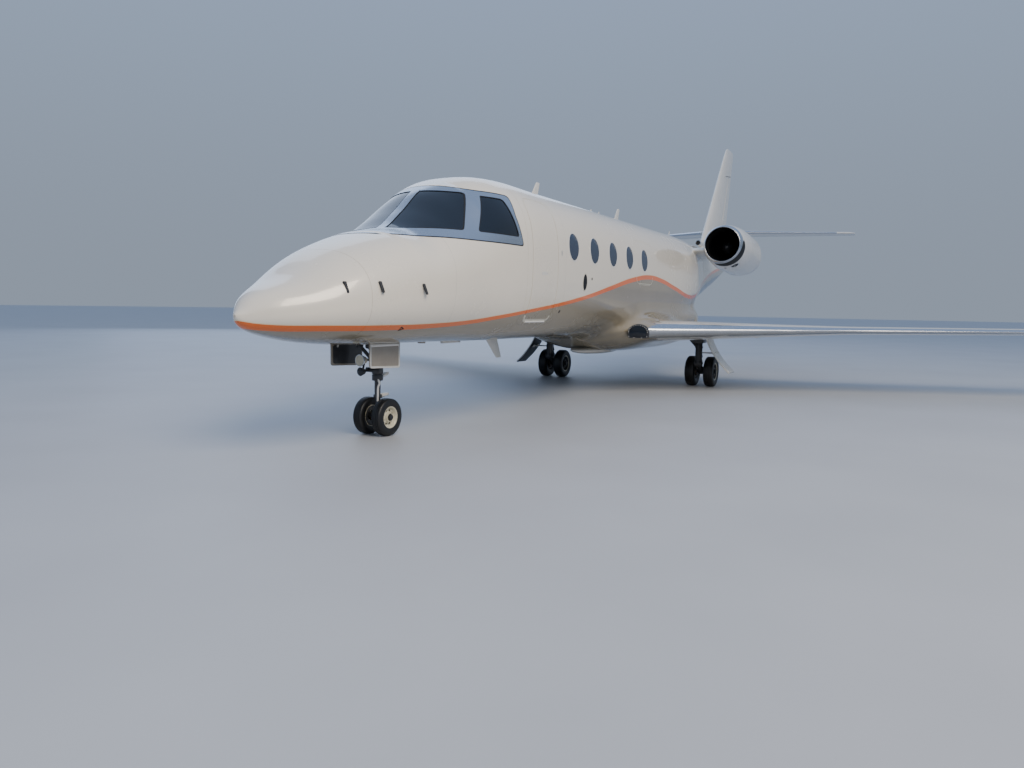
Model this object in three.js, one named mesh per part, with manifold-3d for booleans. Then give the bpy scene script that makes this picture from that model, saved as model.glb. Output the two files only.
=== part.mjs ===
// A twin-engined business jet parked on its landing gear, in millimetres.
// +X points forward, +Y to port (left) and +Z up. The origin is on the ground under the middle of the
// aircraft's length. A "station" is the distance aft of the nose tip, so x = NOSE_X - station.
import * as THREE from "three";
import { mergeVertices } from "three/addons/utils/BufferGeometryUtils.js";
import Module from "manifold-3d";

const wasm = await Module();
wasm.setup();

// Driving dimensions
const LENGTH = 17300;
const NOSE_X = LENGTH / 2;
const SEAT_GAP = 0.3; // between faces that touch on the real aircraft
const MOVING_GAP = 9; // round doors and control surfaces
const PORT = 1;
const STARBOARD = -1;
const SIDES = [
  ["left", PORT],
  ["right", STARBOARD],
];
const BEYOND = 1100; // further out than the fuselage's side

const WALL = { radome: 20, cabin: 80, tail: 14 };
const RADOME_END = 950;
const COCKPIT_END = 3350;
const CABIN_END = 9000;
const FLOOR_TOP = 1120;

// Fuselage sections: superellipses about the widest height, with one exponent above it and one below
const HULL = columns(
  "station halfWidth top bottom widest roundAbove roundBelow",
  [
    [0, 12, 1262, 1238, 1250, 2, 2],
    [12, 36, 1276, 1212, 1251, 2.05, 2.1],
    [50, 80, 1312, 1166, 1256, 2.1, 2.1],
    [120, 157, 1392, 1130, 1264, 2.15, 2.1],
    [200, 243, 1450, 1104, 1275, 2.2, 2.15],
    [340, 361, 1520, 1068, 1295, 2.25, 2.15],
    [500, 468, 1590, 1036, 1320, 2.3, 2.2],
    [700, 573, 1720, 1006, 1357, 2.3, 2.25],
    [900, 653, 1850, 987, 1400, 2.25, 2.3],
    [1300, 753, 2010, 970, 1480, 2.35, 2.45],
    [1600, 803, 2104, 969, 1540, 2.4, 2.6],
    [1830, 835, 2143, 968, 1588, 2.3, 2.65],
    [2150, 866, 2355, 967, 1652, 2.15, 2.75],
    [2465, 883, 2615, 965, 1722, 1.9, 2.85],
    [2750, 905, 2757, 962, 1780, 2.3, 2.9],
    [3100, 940, 2864, 956, 1831, 2.7, 3.0],
    [3600, 967, 2892, 951, 1882, 2.75, 3.0],
    [4300, 970, 2882, 950, 1900, 2.75, 3.0],
    [9200, 970, 2882, 938, 1900, 2.8, 3.0],
    [10000, 955, 2886, 990, 1930, 2.8, 2.9],
    [10800, 890, 2886, 1115, 1985, 2.7, 2.7],
    [11400, 790, 2886, 1245, 2050, 2.6, 2.5],
    [12200, 640, 2886, 1420, 2150, 2.5, 2.35],
    [13600, 450, 2884, 1725, 2300, 2.4, 2.2],
    [15300, 265, 2862, 2110, 2480, 2.3, 2.1],
    [16500, 135, 2815, 2440, 2640, 2.2, 2.0],
    [16900, 70, 2760, 2600, 2680, 2.0, 2.0],
  ],
);
const HULL_POINTS = 24;
const INSIDE_FROM = 1020;
const INSIDE_TO = 8920;
const RADOME_STATIONS = [0, 12, 50, 120, 200, 340, 500, 700, RADOME_END];
const COCKPIT_STATIONS = [
  RADOME_END,
  1300,
  1600,
  1830,
  1990,
  2150,
  2310,
  2465,
  2750,
  3100,
  COCKPIT_END,
];
// The one space inside the cockpit and cabin
const INTERIOR_STATIONS = [
  INSIDE_FROM,
  1300,
  1600,
  1830,
  2150,
  2465,
  2750,
  3100,
  3600,
  4300,
  INSIDE_TO,
];
const CABIN_STATIONS = [COCKPIT_END, 3600, 4300, CABIN_END];
const TAIL_STATIONS = [
  CABIN_END,
  9200,
  10000,
  10800,
  11400,
  12200,
  13600,
  15300,
  16500,
  16900,
];

// The fairing under the wing's centre section, drawn as superellipses about a fixed height
const FAIRING_MIDDLE = 1210;
const FAIRING_TOP = 1500;
const FAIRING = columns("station halfWidth bottom", [
  [6150, 560, 930],
  [6500, 760, 860],
  [6900, 900, 735],
  [7400, 975, 655],
  [8200, 990, 632],
  [9600, 990, 632],
  [10400, 975, 665],
  [11000, 900, 800],
  [11700, 640, 1080],
]);
const FAIRING_ROUND = 2.7;

// Window and door outlines seen from the side: station and height
const WINDSHIELD = [
  [1845, 2146],
  [2472, 2612],
  [2700, 2604],
  [2345, 2150],
];
const SIDE_WINDOW = [
  [2520, 2152],
  [2800, 2580],
  [3070, 2570],
  [3185, 2150],
];
const WINDSHIELD_HALF_POST = 52;
const COCKPIT_WINDOW_CORNER = 45;
const PANE = { outside: 6, inside: 30 };
const CABIN_WINDOW = {
  first: 4605,
  pitch: 690,
  count: 5,
  z: 2153,
  halfLong: 132,
  halfTall: 172,
  outside: 14,
};
const DOOR = {
  front: 3460,
  rear: 4128,
  bottom: 1195,
  top: 2652,
  cornerBelow: 70,
  cornerAbove: 150,
  topY: 778,
  hingeY: 818,
  barrel: 12,
};

// The wing from inside the fairing to the top of the winglet: leading edge, chord, and a lean of the section
const WING = columns("y z lead chord thickness lean", [
  [700, 1026, 6701, 3220, 0.12, 0],
  [950, 1030, 6870, 3100, 0.12, 0],
  [3900, 1080, 8860, 1700, 0.08, 0],
  [8080, 1128, 10810, 1004, 0.085, 0],
  [8270, 1165, 10910, 905, 0.085, 35],
  [8375, 1290, 11070, 760, 0.085, 68],
  [8453, 1680, 11420, 430, 0.08, 80],
]);
const WING_DROP = Math.tan(THREE.MathUtils.degToRad(1));
const FIN = columns("z lead chord thickness", [
  [2600, 13961, 2524, 0.1],
  [3400, 14595, 2128, 0.1],
  [5500, 16257, 988, 0.095],
  [5690, 16425, 855, 0.07],
  [5760, 16560, 640, 0.03],
]);
const TAILPLANE = columns("y lead chord thickness", [
  [0, 15150, 1550, 0.1],
  [3180, 16520, 765, 0.09],
  [3285, 16615, 685, 0.05],
]);
const TAILPLANE_Z = 3400;

// Control surfaces: hinge ends as station, side offset and height, with the nose radius at each end
const SURFACES = {
  flap: { from: [9242, 1350], to: [10688, 5600], nose: [60, 28] },
  aileron: { from: [10756, 5800], to: [11438, 7800], nose: [27, 21] },
};
const ELEVATOR = { from: [16330, 320], to: [17000, 2900], nose: [38, 20] };
const RUDDER = { from: [16170, 3800], to: [16680, 4990], nose: [47, 30] };
const HINGE_PIN = 12;

// Engine pods, turned a little outwards and upwards at the front
const POD = { station: 10650, y: 1400, z: 2680, toe: 2.6, pitch: 2.2 };
const POD_LENGTH = 3100;
const POD_OUTSIDE = [
  [0, 340],
  [40, 367],
  [150, 396],
  [450, 432],
  [900, 457],
  [1900, 459],
  [2500, 400],
  [POD_LENGTH, 303],
];
const VANE_RADIUS = 398; // where the engine's vane ring seats in the duct
const POD_INSIDE = [
  [POD_LENGTH, 291],
  [2500, 372],
  [1500, VANE_RADIUS],
  [1390, VANE_RADIUS],
  [900, 368],
  [560, 366],
  [250, 321],
  [110, 317],
  [30, 324],
];
const FAN = {
  back: 690,
  radius: 358,
  hub: 120,
  shaft: 50,
  blades: 16,
  depth: 56, // across a blade where it leaves the spinner
  tipDepth: 104,
  thick: 7,
  embedded: 10,
  turn: 42, // degrees from the shaft's line
  phase: 0.5, // each blade stands on the middle of one of the spinner's flats
};
const CORE_FRONT = 810;
const PYLON = { lead: 11080, chord: 2150, thickness: 0.085, z: 2600 };

// Landing gear: each pair of wheels, its axle's half length and its leg
const MAIN = {
  station: 9180,
  y: 1488,
  twin: 168,
  radius: 271,
  rim: 152,
  width: 178,
  axle: 262,
  axleRadius: 34,
};
const MAIN_LEG = { station: 8930, radius: 68, elbow: 430, head: 790, top: 960 };
const NOSE = {
  station: 1825,
  twin: 122,
  radius: 198,
  rim: 102,
  width: 112,
  axle: 188,
  axleRadius: 28,
};
const NOSE_LEG = { split: 640, piston: 32, post: 48, collar: 62, pivot: 1120 };
const TORQUE_LINK = { top: 610, apex: 505, bottom: 408, reach: 235, radius: 11 };
const TAXI_LIGHT = { front: 1540, rear: 1625, z: 800, radius: 62 };
const NOSE_DOOR = { front: 1400, rear: 1870, bottom: 735, y: 250, half: 8 };
const MAIN_DOOR = { front: 8700, rear: 9120, thickness: 24 };
const WHEEL_SEGMENTS = 16;
const BEARING_GAP = 0.6;
const BAY = { front: 1370, rear: 1985, halfWidth: 200, top: 1215, wall: 14 };

// Jacking pads, with a flat face below the skin
const NOSE_PAD = { station: 2600, y: 0, top: 1000, face: 940, radius: 45 };
const WING_PAD = { station: 9170, y: 2430, top: 980, face: 902, radius: 38 };

// Blade aerials: station, height of the root, chord, reach (negative hangs down)
const AERIALS = columns("station root chord reach", [
  [5180, 2866, 260, 290],
  [7250, 2866, 90, 150],
  [7590, 2866, 90, 150],
  [8330, 2866, 230, 310],
  [11560, 2870, 110, 210],
  [3990, 965, 300, -275],
]);

const AERIAL_TIP = { back: 0.6, chord: 0.36 };

const PAINT = coat("#e4e2de", 0.3, 0.1);
const LOWER_PAINT = coat("#8d867a", 0.35, 0.3);
const BARE_METAL = coat("#b9bcc0", 0.3, 0.9);
const GLASS = coat("#101820", 0.08, 0.2);
const RUBBER = coat("#15161a", 0.8, 0);
const RIM_PAINT = coat("#d9d4bd", 0.45, 0.1);
const DARK_METAL = coat("#3a3d42", 0.4, 0.8);
const PLASTIC = coat("#2a2b2e", 0.6, 0);
const LEATHER = coat("#b49c7c", 0.6, 0);
const CARPET = coat("#7d7468", 0.9, 0);

const jet = new THREE.Group();

function coat(color, roughness, metalness) {
  return new THREE.MeshStandardMaterial({ color, roughness, metalness });
}

// Rows of numbers as objects, their fields named by the heading
function columns(heading, rows) {
  const names = heading.split(" ");
  return rows.map((row) =>
    Object.fromEntries(names.map((name, i) => [name, row[i]])),
  );
}

// A column's value between a table's rows: a cubic whose slopes never overshoot the rows
function between(table, key, column, at) {
  const last = table.length - 1;
  let i = 0;
  while (i < last - 1 && table[i + 1][key] < at) i += 1;
  const secant = (k) =>
    (table[k + 1][column] - table[k][column]) /
    (table[k + 1][key] - table[k][key]);
  const slope = (k) => {
    if (k === 0) return secant(0);
    if (k === last) return secant(last - 1);
    const before = secant(k - 1);
    const after = secant(k);
    if (before * after <= 0) return 0;
    return (2 * before * after) / (before + after);
  };
  const span = table[i + 1][key] - table[i][key];
  const t = (at - table[i][key]) / span;
  const start = table[i][column];
  const end = table[i + 1][column];
  const rise = end - start;
  const first = slope(i) * span;
  const second = slope(i + 1) * span;
  return (
    start +
    t * first +
    t * t * (3 * rise - 2 * first - second) +
    t * t * t * (first + second - 2 * rise)
  );
}

// A closed geometry as a solid for cutting and joining, its faces turned outwards
function solid(geometry) {
  geometry.deleteAttribute("normal");
  geometry.deleteAttribute("uv");
  const merged = mergeVertices(geometry, 1e-3);
  const vertProperties = merged.attributes.position.array;
  const triVerts = new Uint32Array(merged.index.array);
  const corner = (k) =>
    new THREE.Vector3().fromArray(vertProperties, 3 * triVerts[k]);
  let volume = 0;
  for (let f = 0; f < triVerts.length; f += 3) {
    volume += corner(f).dot(corner(f + 1).cross(corner(f + 2)));
  }
  if (volume < 0) triVerts.reverse();
  return new wasm.Manifold(
    new wasm.Mesh({ numProp: 3, vertProperties, triVerts }),
  );
}

function geometryOf(shape) {
  const mesh = shape.getMesh();
  const geometry = new THREE.BufferGeometry();
  geometry.setAttribute(
    "position",
    new THREE.BufferAttribute(mesh.vertProperties, 3),
  );
  geometry.setIndex(new THREE.BufferAttribute(mesh.triVerts, 1));
  geometry.computeVertexNormals();
  return geometry;
}

function add(name, shape, material) {
  const mesh = new THREE.Mesh(geometryOf(shape), material);
  mesh.name = name;
  jet.add(mesh);
  return mesh;
}

function join(...shapes) {
  return shapes.reduce((all, shape) => all.add(shape));
}

// A skin through rings that have the same number of points, closed by a fan at each end
function loft(rings) {
  const count = rings[0].length;
  const points = rings.flat();
  const faces = [];
  for (let r = 0; r < rings.length - 1; r += 1) {
    for (let k = 0; k < count; k += 1) {
      const here = r * count + k;
      const next = r * count + ((k + 1) % count);
      faces.push(here, next, here + count);
      faces.push(next, next + count, here + count);
    }
  }
  for (const [ring, flip] of [
    [0, true],
    [rings.length - 1, false],
  ]) {
    const centre = new THREE.Vector3();
    for (const point of rings[ring]) centre.addScaledVector(point, 1 / count);
    points.push(centre);
    for (let k = 0; k < count; k += 1) {
      const here = ring * count + k;
      const next = ring * count + ((k + 1) % count);
      if (flip) faces.push(next, here, points.length - 1);
      else faces.push(here, next, points.length - 1);
    }
  }
  const geometry = new THREE.BufferGeometry().setFromPoints(points);
  geometry.setIndex(faces);
  return solid(geometry);
}

function box(station, y, z) {
  const geometry = new THREE.BoxGeometry(
    station[1] - station[0],
    y[1] - y[0],
    z[1] - z[0],
  );
  geometry.translate(
    NOSE_X - (station[0] + station[1]) / 2,
    (y[0] + y[1]) / 2,
    (z[0] + z[1]) / 2,
  );
  return solid(geometry);
}

// A round bar between two points given as station, y, z, or a taper where a second radius is given
function bar(from, to, radius, endRadius = radius, segments = 10) {
  const start = new THREE.Vector3(NOSE_X - from[0], from[1], from[2]);
  const end = new THREE.Vector3(NOSE_X - to[0], to[1], to[2]);
  const along = end.clone().sub(start);
  const geometry = new THREE.CylinderGeometry(
    endRadius,
    radius,
    along.length(),
    segments,
  );
  const turn = new THREE.Quaternion().setFromUnitVectors(
    new THREE.Vector3(0, 1, 0),
    along.clone().normalize(),
  );
  geometry.applyQuaternion(turn);
  geometry.translate(...start.add(end).multiplyScalar(0.5).toArray());
  return solid(geometry);
}

// An outline drawn by station and height, its corners rounded, pushed through from one y to another
function sideCut(outline, corner, y) {
  const points = outline.map(
    ([station, z]) => new THREE.Vector2(NOSE_X - station, z),
  );
  const shape = new THREE.Shape();
  points.forEach((point, i) => {
    const previous = points[(i + points.length - 1) % points.length];
    const next = points[(i + 1) % points.length];
    const radius = Array.isArray(corner) ? corner[i] : corner;
    const toward = (other) =>
      point
        .clone()
        .add(other.clone().sub(point).normalize().multiplyScalar(radius));
    const enter = toward(previous);
    const leave = toward(next);
    if (i === 0) shape.moveTo(enter.x, enter.y);
    else shape.lineTo(enter.x, enter.y);
    shape.quadraticCurveTo(point.x, point.y, leave.x, leave.y);
  });
  return pushed(shape, y, 4);
}

function pushed(shape, y, curveSegments) {
  const geometry = new THREE.ExtrudeGeometry(shape, {
    depth: y[1] - y[0],
    bevelEnabled: false,
    curveSegments,
  });
  geometry.rotateX(Math.PI / 2);
  geometry.translate(0, y[1], 0);
  return solid(geometry);
}

// The same outline drawn a little smaller about its middle, to sit in its own opening
function fitted(outline, gap) {
  const middle = [0, 1].map(
    (axis) => outline.reduce((sum, p) => sum + p[axis], 0) / outline.length,
  );
  const reach = Math.min(
    ...[0, 1].map((axis) =>
      Math.max(...outline.map((p) => Math.abs(p[axis] - middle[axis]))),
    ),
  );
  const factor = 1 - gap / reach;
  return outline.map((p) =>
    p.map((value, axis) => middle[axis] + (value - middle[axis]) * factor),
  );
}

// One superellipse ring: its half width, and its reach above and below the widest height
function superRing(station, halfWidth, widest, above, below, round) {
  const power = (value, exponent) =>
    Math.sign(value) * Math.abs(value) ** (2 / exponent);
  return Array.from({ length: HULL_POINTS }, (_, k) => {
    const angle = (2 * Math.PI * k) / HULL_POINTS;
    const upper = Math.sin(angle) >= 0;
    const exponent = upper ? round[0] : round[1];
    return new THREE.Vector3(
      NOSE_X - station,
      halfWidth * power(Math.cos(angle), exponent),
      widest + (upper ? above : below) * power(Math.sin(angle), exponent),
    );
  });
}

function hullRing(station, inset) {
  const value = (column) => between(HULL, "station", column, station);
  const widest = value("widest");
  return superRing(
    station,
    value("halfWidth") - inset,
    widest,
    value("top") - inset - widest,
    widest - value("bottom") - inset,
    [value("roundAbove"), value("roundBelow")],
  );
}

function hull(stations, inset = 0) {
  return loft(stations.map((station) => hullRing(station, inset)));
}

// The room inside the walls, or a smaller body that sits inside it
function interior(inset = 0) {
  return hull(INTERIOR_STATIONS, WALL.cabin + inset);
}

function fairing(grow = 0) {
  return loft(
    FAIRING.map((row) =>
      superRing(
        row.station,
        row.halfWidth + grow,
        FAIRING_MIDDLE,
        FAIRING_TOP - FAIRING_MIDDLE,
        FAIRING_MIDDLE - row.bottom + grow,
        [FAIRING_ROUND, FAIRING_ROUND],
      ),
    ),
  );
}

// A symmetrical aerofoil: distance back and half thickness as shares of the chord, once round the section
function aerofoil() {
  const steps = 7;
  const half = (share) =>
    5 *
    (0.2969 * Math.sqrt(share) -
      0.126 * share -
      0.3516 * share ** 2 +
      0.2843 * share ** 3 -
      0.1015 * share ** 4);
  const back = Array.from(
    { length: steps + 1 },
    (_, i) => (1 - Math.cos((Math.PI * i) / steps)) / 2,
  );
  const above = back.map((share) => [share, half(share)]);
  const below = back
    .slice(1)
    .reverse()
    .map((share) => [share, -half(share)]);
  return [...above, ...below];
}

// A wing-like ring at a leading-edge point, with the direction its thickness is measured in
function foilRing(lead, thicknessWay, chord, thickness, drop = 0) {
  return aerofoil().map(([back, half]) =>
    lead
      .clone()
      .add(new THREE.Vector3(-back * chord, 0, -back * chord * drop))
      .addScaledVector(thicknessWay, half * thickness * chord),
  );
}

function wing(side, grow = 0) {
  return loft(
    WING.map((row) => {
      const lean = THREE.MathUtils.degToRad(row.lean);
      const way = new THREE.Vector3(
        0,
        -side * Math.sin(lean),
        Math.cos(lean),
      );
      const lead = new THREE.Vector3(
        NOSE_X - row.lead + grow,
        side * row.y,
        row.z,
      );
      const chord = row.chord + 2 * grow;
      const thickness = row.thickness + (3 * grow) / chord;
      return foilRing(lead, way, chord, thickness, WING_DROP);
    }),
  );
}

function finBody(grow = 0) {
  return loft(
    FIN.map((row) => {
      const lead = new THREE.Vector3(NOSE_X - row.lead + grow, 0, row.z);
      const chord = row.chord + 2 * grow;
      const thickness = row.thickness + (3 * grow) / chord;
      return foilRing(lead, new THREE.Vector3(0, 1, 0), chord, thickness);
    }),
  );
}

function tailplaneBody(grow = 0) {
  const rows = [
    ...TAILPLANE.slice(1)
      .reverse()
      .map((row) => ({ ...row, y: -row.y })),
    ...TAILPLANE,
  ];
  return loft(
    rows.map((row) => {
      const lead = new THREE.Vector3(
        NOSE_X - row.lead + grow,
        row.y,
        TAILPLANE_Z,
      );
      const chord = row.chord + 2 * grow;
      const thickness = row.thickness + (3 * grow) / chord;
      return foilRing(lead, new THREE.Vector3(0, 0, 1), chord, thickness);
    }),
  );
}

// A control surface and the bay it sits in, cut from its parent along a straight hinge
function hingedSurface(parent, from, to, nose) {
  const along = to.clone().sub(from);
  const span = along.length();
  along.normalize();
  const aft = new THREE.Vector3(-1, 0, 0);
  aft.addScaledVector(along, -aft.dot(along)).normalize();
  const up = along.clone().cross(aft);
  const at = (a, b, c) =>
    from
      .clone()
      .addScaledVector(along, a)
      .addScaledVector(aft, b)
      .addScaledVector(up, c);
  const reach = 1500;
  const slab = (start, end, ahead) =>
    loft(
      [start, end].map((a, i) => [
        at(a, -ahead[i], -reach),
        at(a, reach, -reach),
        at(a, reach, reach),
        at(a, -ahead[i], reach),
      ]),
    );
  const rod = (start, end, radius, endRadius, segments) => {
    const ends = [at(start, 0, 0), at(end, 0, 0)].map((p) => [
      NOSE_X - p.x,
      p.y,
      p.z,
    ]);
    return bar(...ends, radius, endRadius, segments);
  };
  const bay = slab(
    -MOVING_GAP,
    span + MOVING_GAP,
    nose.map((radius) => radius + MOVING_GAP),
  );
  const embedded = 60;
  const surface = join(
    parent.intersect(slab(0, span, [0, 0])),
    rod(0, span, nose[0], nose[1], 16),
    rod(SEAT_GAP - MOVING_GAP, embedded, HINGE_PIN, HINGE_PIN, 8),
    rod(
      span - embedded,
      span + MOVING_GAP - SEAT_GAP,
      HINGE_PIN,
      HINGE_PIN,
      8,
    ),
  );
  return { surface, rest: parent.subtract(bay) };
}

// The height of the wing's middle line at a station and side offset
function wingMiddle(station, y) {
  const z = between(WING, "y", "z", y);
  const lead = between(WING, "y", "lead", y);
  return z - (station - lead) * WING_DROP;
}

// Fuselage
const outerHull = hull([
  ...RADOME_STATIONS,
  ...COCKPIT_STATIONS.slice(1),
  ...CABIN_STATIONS.slice(1),
  ...TAIL_STATIONS.slice(1),
]);
const grownHull = hull(
  [
    ...RADOME_STATIONS,
    ...COCKPIT_STATIONS.slice(1),
    ...CABIN_STATIONS.slice(1),
    ...TAIL_STATIONS.slice(1),
  ],
  -SEAT_GAP,
);

function trimmed(stations) {
  const first = stations[0];
  const last = stations[stations.length - 1];
  const ends = [first, last - SEAT_GAP];
  return stations.map((station) =>
    Math.min(Math.max(station, ends[0]), ends[1]),
  );
}

function aerial(row) {
  const reach = Math.abs(row.reach);
  const way = Math.sign(row.reach);
  const ring = (share, lead, chord) =>
    foilRing(
      new THREE.Vector3(NOSE_X - lead, 0, row.root + way * reach * share),
      new THREE.Vector3(0, 1, 0),
      chord,
      0.11,
    );
  return loft([
    ring(0, row.station, row.chord),
    ring(1, row.station + AERIAL_TIP.back * row.chord, AERIAL_TIP.chord * row.chord),
  ]);
}

function aerialsBetween(from, to) {
  return AERIALS.filter((row) => row.station > from && row.station < to).map(
    aerial,
  );
}

function radome() {
  const inner = [70, 200, 500, 700, RADOME_END + 50];
  return hull(trimmed(RADOME_STATIONS)).subtract(hull(inner, WALL.radome));
}

// The part of Y between two distances from the middle, on one side
function sideSpan(side, near, far) {
  return side === PORT ? [near, far] : [-far, -near];
}

function windshieldCut(side, outline) {
  const span = sideSpan(side, WINDSHIELD_HALF_POST, BEYOND);
  return sideCut(outline, COCKPIT_WINDOW_CORNER, span);
}

function sideWindowCut(side, outline) {
  return sideCut(outline, COCKPIT_WINDOW_CORNER, sideSpan(side, 300, BEYOND));
}

function pad({ station, y, top, face, radius }, side) {
  return bar([station, side * y, top], [station, side * y, face], radius, radius, 16);
}

function cockpitSection() {
  const outside = BAY.halfWidth + BAY.wall;
  const well = box(
    [BAY.front - BAY.wall, BAY.rear + BAY.wall],
    [-outside, outside],
    [NOSE_DOOR.bottom, BAY.top + BAY.wall],
  ).intersect(outerHull);
  const recess = box(
    [BAY.front, BAY.rear],
    [-BAY.halfWidth, BAY.halfWidth],
    [NOSE_DOOR.bottom, BAY.top],
  );
  let section = hull(trimmed(COCKPIT_STATIONS))
    .subtract(interior())
    .add(well)
    .subtract(recess)
    .add(pad(NOSE_PAD, PORT));
  for (const [, side] of SIDES) {
    section = section
      .subtract(windshieldCut(side, WINDSHIELD))
      .subtract(sideWindowCut(side, SIDE_WINDOW));
  }
  return section;
}

function cockpitGlass(cut, outline, side) {
  const within = [
    RADOME_END - 50,
    ...COCKPIT_STATIONS.slice(1, -1),
    COCKPIT_END + 50,
  ];
  return hull(COCKPIT_STATIONS, PANE.outside)
    .subtract(hull(within, PANE.inside))
    .intersect(cut(side, fitted(outline, SEAT_GAP * 1.5)));
}

function windowHole(index, side, gap) {
  const { first, pitch, z, halfLong, halfTall } = CABIN_WINDOW;
  const shape = new THREE.Shape();
  const middle = NOSE_X - (first + index * pitch);
  shape.absellipse(middle, z, halfLong - gap, halfTall - gap, 0, 2 * Math.PI);
  return pushed(shape, sideSpan(side, 500, BEYOND), 6);
}

function doorCut(gap) {
  const outline = [
    [DOOR.front + gap, DOOR.bottom + gap],
    [DOOR.front + gap, DOOR.top - gap],
    [DOOR.rear - gap, DOOR.top - gap],
    [DOOR.rear - gap, DOOR.bottom + gap],
  ];
  const corners = [
    DOOR.cornerBelow,
    DOOR.cornerAbove,
    DOOR.cornerAbove,
    DOOR.cornerBelow,
  ].map((corner) => corner - gap / 2);
  return sideCut(outline, corners, sideSpan(PORT, 300, BEYOND));
}

function cabinShell() {
  return hull(trimmed(CABIN_STATIONS)).subtract(interior());
}

function cabinSection(shell) {
  let cut = shell
    .subtract(doorCut(0))
    .subtract(doorHinge(DOOR.barrel + BEARING_GAP));
  for (const [, side] of SIDES) {
    for (let i = 0; i < CABIN_WINDOW.count; i += 1) {
      cut = cut.subtract(windowHole(i, side, 0));
    }
  }
  return join(cut, ...aerialsBetween(COCKPIT_END, CABIN_END));
}

// The barrel of the door's hinge, lying in a groove along the sill
function doorHinge(radius) {
  const end = DOOR.cornerBelow + 10;
  return bar(
    [DOOR.front + end, DOOR.hingeY, DOOR.bottom],
    [DOOR.rear - end, DOOR.hingeY, DOOR.bottom],
    radius,
    radius,
    WHEEL_SEGMENTS,
  );
}

// The door's upper edge is turned about its hinge, so that it swings clear of its frame
function entryDoor(shell) {
  const reach = Math.hypot(
    DOOR.topY - DOOR.hingeY,
    DOOR.top - MOVING_GAP - DOOR.bottom,
  );
  const sweep = bar(
    [DOOR.front - 100, DOOR.hingeY, DOOR.bottom],
    [DOOR.rear + 100, DOOR.hingeY, DOOR.bottom],
    reach,
    reach,
    128,
  );
  const leaf = shell.intersect(doorCut(MOVING_GAP)).intersect(sweep);
  return leaf.add(doorHinge(DOOR.barrel));
}

// The inner window panel with its panes, one to a side
function cabinGlazing(side) {
  const { first, pitch, count, z, halfTall, outside } = CABIN_WINDOW;
  const depth = 8;
  const margin = { along: 220, up: 40 };
  const strip = interior(SEAT_GAP)
    .subtract(interior(SEAT_GAP + depth))
    .intersect(
      box(
        [first - margin.along, first + (count - 1) * pitch + margin.along],
        sideSpan(side, 500, BEYOND),
        [z - halfTall - margin.up, z + halfTall + margin.up],
      ),
    );
  const slab = hull([4300, CABIN_END], outside).subtract(
    interior(SEAT_GAP + depth / 2),
  );
  const panes = Array.from({ length: count }, (_, i) =>
    slab.intersect(windowHole(i, side, SEAT_GAP)),
  );
  return join(strip, ...panes);
}

function tailCone() {
  const cavity = hull(
    [CABIN_END - 50, 10000, 11400, 13600, 15300, 16350],
    WALL.tail,
  );
  const section = hull(trimmed(TAIL_STATIONS)).subtract(cavity);
  return join(section, ...aerialsBetween(CABIN_END, LENGTH));
}

function floor() {
  const edge = 900;
  return interior(SEAT_GAP).intersect(
    box([2010, 8890], [-edge, edge], [900, FLOOR_TOP]),
  );
}

function instrumentPanel() {
  const board = box([1960, 2120], [-760, 760], [1520, 2030]);
  const shade = box([1900, 2230], [-700, 700], [2000, 2045]);
  const pedestal = box(
    [2060, 2760],
    [-150, 150],
    [FLOOR_TOP + SEAT_GAP, 1620],
  );
  return join(board, shade, pedestal).intersect(interior(SEAT_GAP));
}

// A seat facing forward, or aft where facing is -1, given the station of its cushion's middle
function seat({ station, y, width, facing, cushionTop, backTop }) {
  const lengthwise = (from, to) =>
    facing > 0
      ? [station + from, station + to]
      : [station - to, station - from];
  const across = (share) => [y - width * share, y + width * share];
  const foot = [FLOOR_TOP + SEAT_GAP, cushionTop - 130];
  return join(
    box(lengthwise(-230, 250), across(1 / 2), [cushionTop - 140, cushionTop]),
    box(lengthwise(200, 310), across(1 / 2), [cushionTop - 60, backTop - 190]),
    box(lengthwise(225, 315), across(1 / 3), [backTop - 200, backTop]),
    box(lengthwise(-150, 180), across(1 / 4), foot),
  );
}

function pilotSeat(side) {
  return seat({
    station: 2900,
    y: side * 375,
    width: 440,
    facing: 1,
    cushionTop: 1540,
    backTop: 2300,
  });
}

const CABIN_SEATS = columns("station facing", [
  [4900, -1],
  [5960, 1],
  [7150, 1],
]);

// The cabin seats on one side, on their common rail
function seatRow(side) {
  const y = side * 455;
  const rail = box(
    [4800, 7250],
    [y - 30, y + 30],
    [FLOOR_TOP + SEAT_GAP, FLOOR_TOP + 40],
  );
  const seats = CABIN_SEATS.map((row) =>
    seat({ ...row, y, width: 480, cushionTop: 1540, backTop: 2180 }),
  );
  return join(rail, ...seats);
}

// Engine pods
function podMatrix(side) {
  const turn = new THREE.Matrix4().makeRotationFromEuler(
    new THREE.Euler(
      0,
      THREE.MathUtils.degToRad(-POD.pitch),
      THREE.MathUtils.degToRad(side * POD.toe),
      "ZYX",
    ),
  );
  return turn.setPosition(NOSE_X - POD.station, side * POD.y, POD.z);
}

// A body turned about the pod's axis from points given as distance behind the lip and radius
function turned(side, profile, segments = 20) {
  const points = profile.map(
    ([back, radius]) => new THREE.Vector2(radius, back),
  );
  const geometry = new THREE.LatheGeometry(points, segments);
  geometry.rotateZ(Math.PI / 2);
  return solid(geometry.applyMatrix4(podMatrix(side)));
}

function nacelle(side) {
  return turned(side, [...POD_OUTSIDE, ...POD_INSIDE, POD_OUTSIDE[0]]);
}

function nacelleFilled(side, grow) {
  const skin = POD_OUTSIDE.map(([back, radius]) => [back, radius + grow]);
  return turned(side, [[0, 0], ...skin, [POD_LENGTH, 0]]);
}

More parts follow.
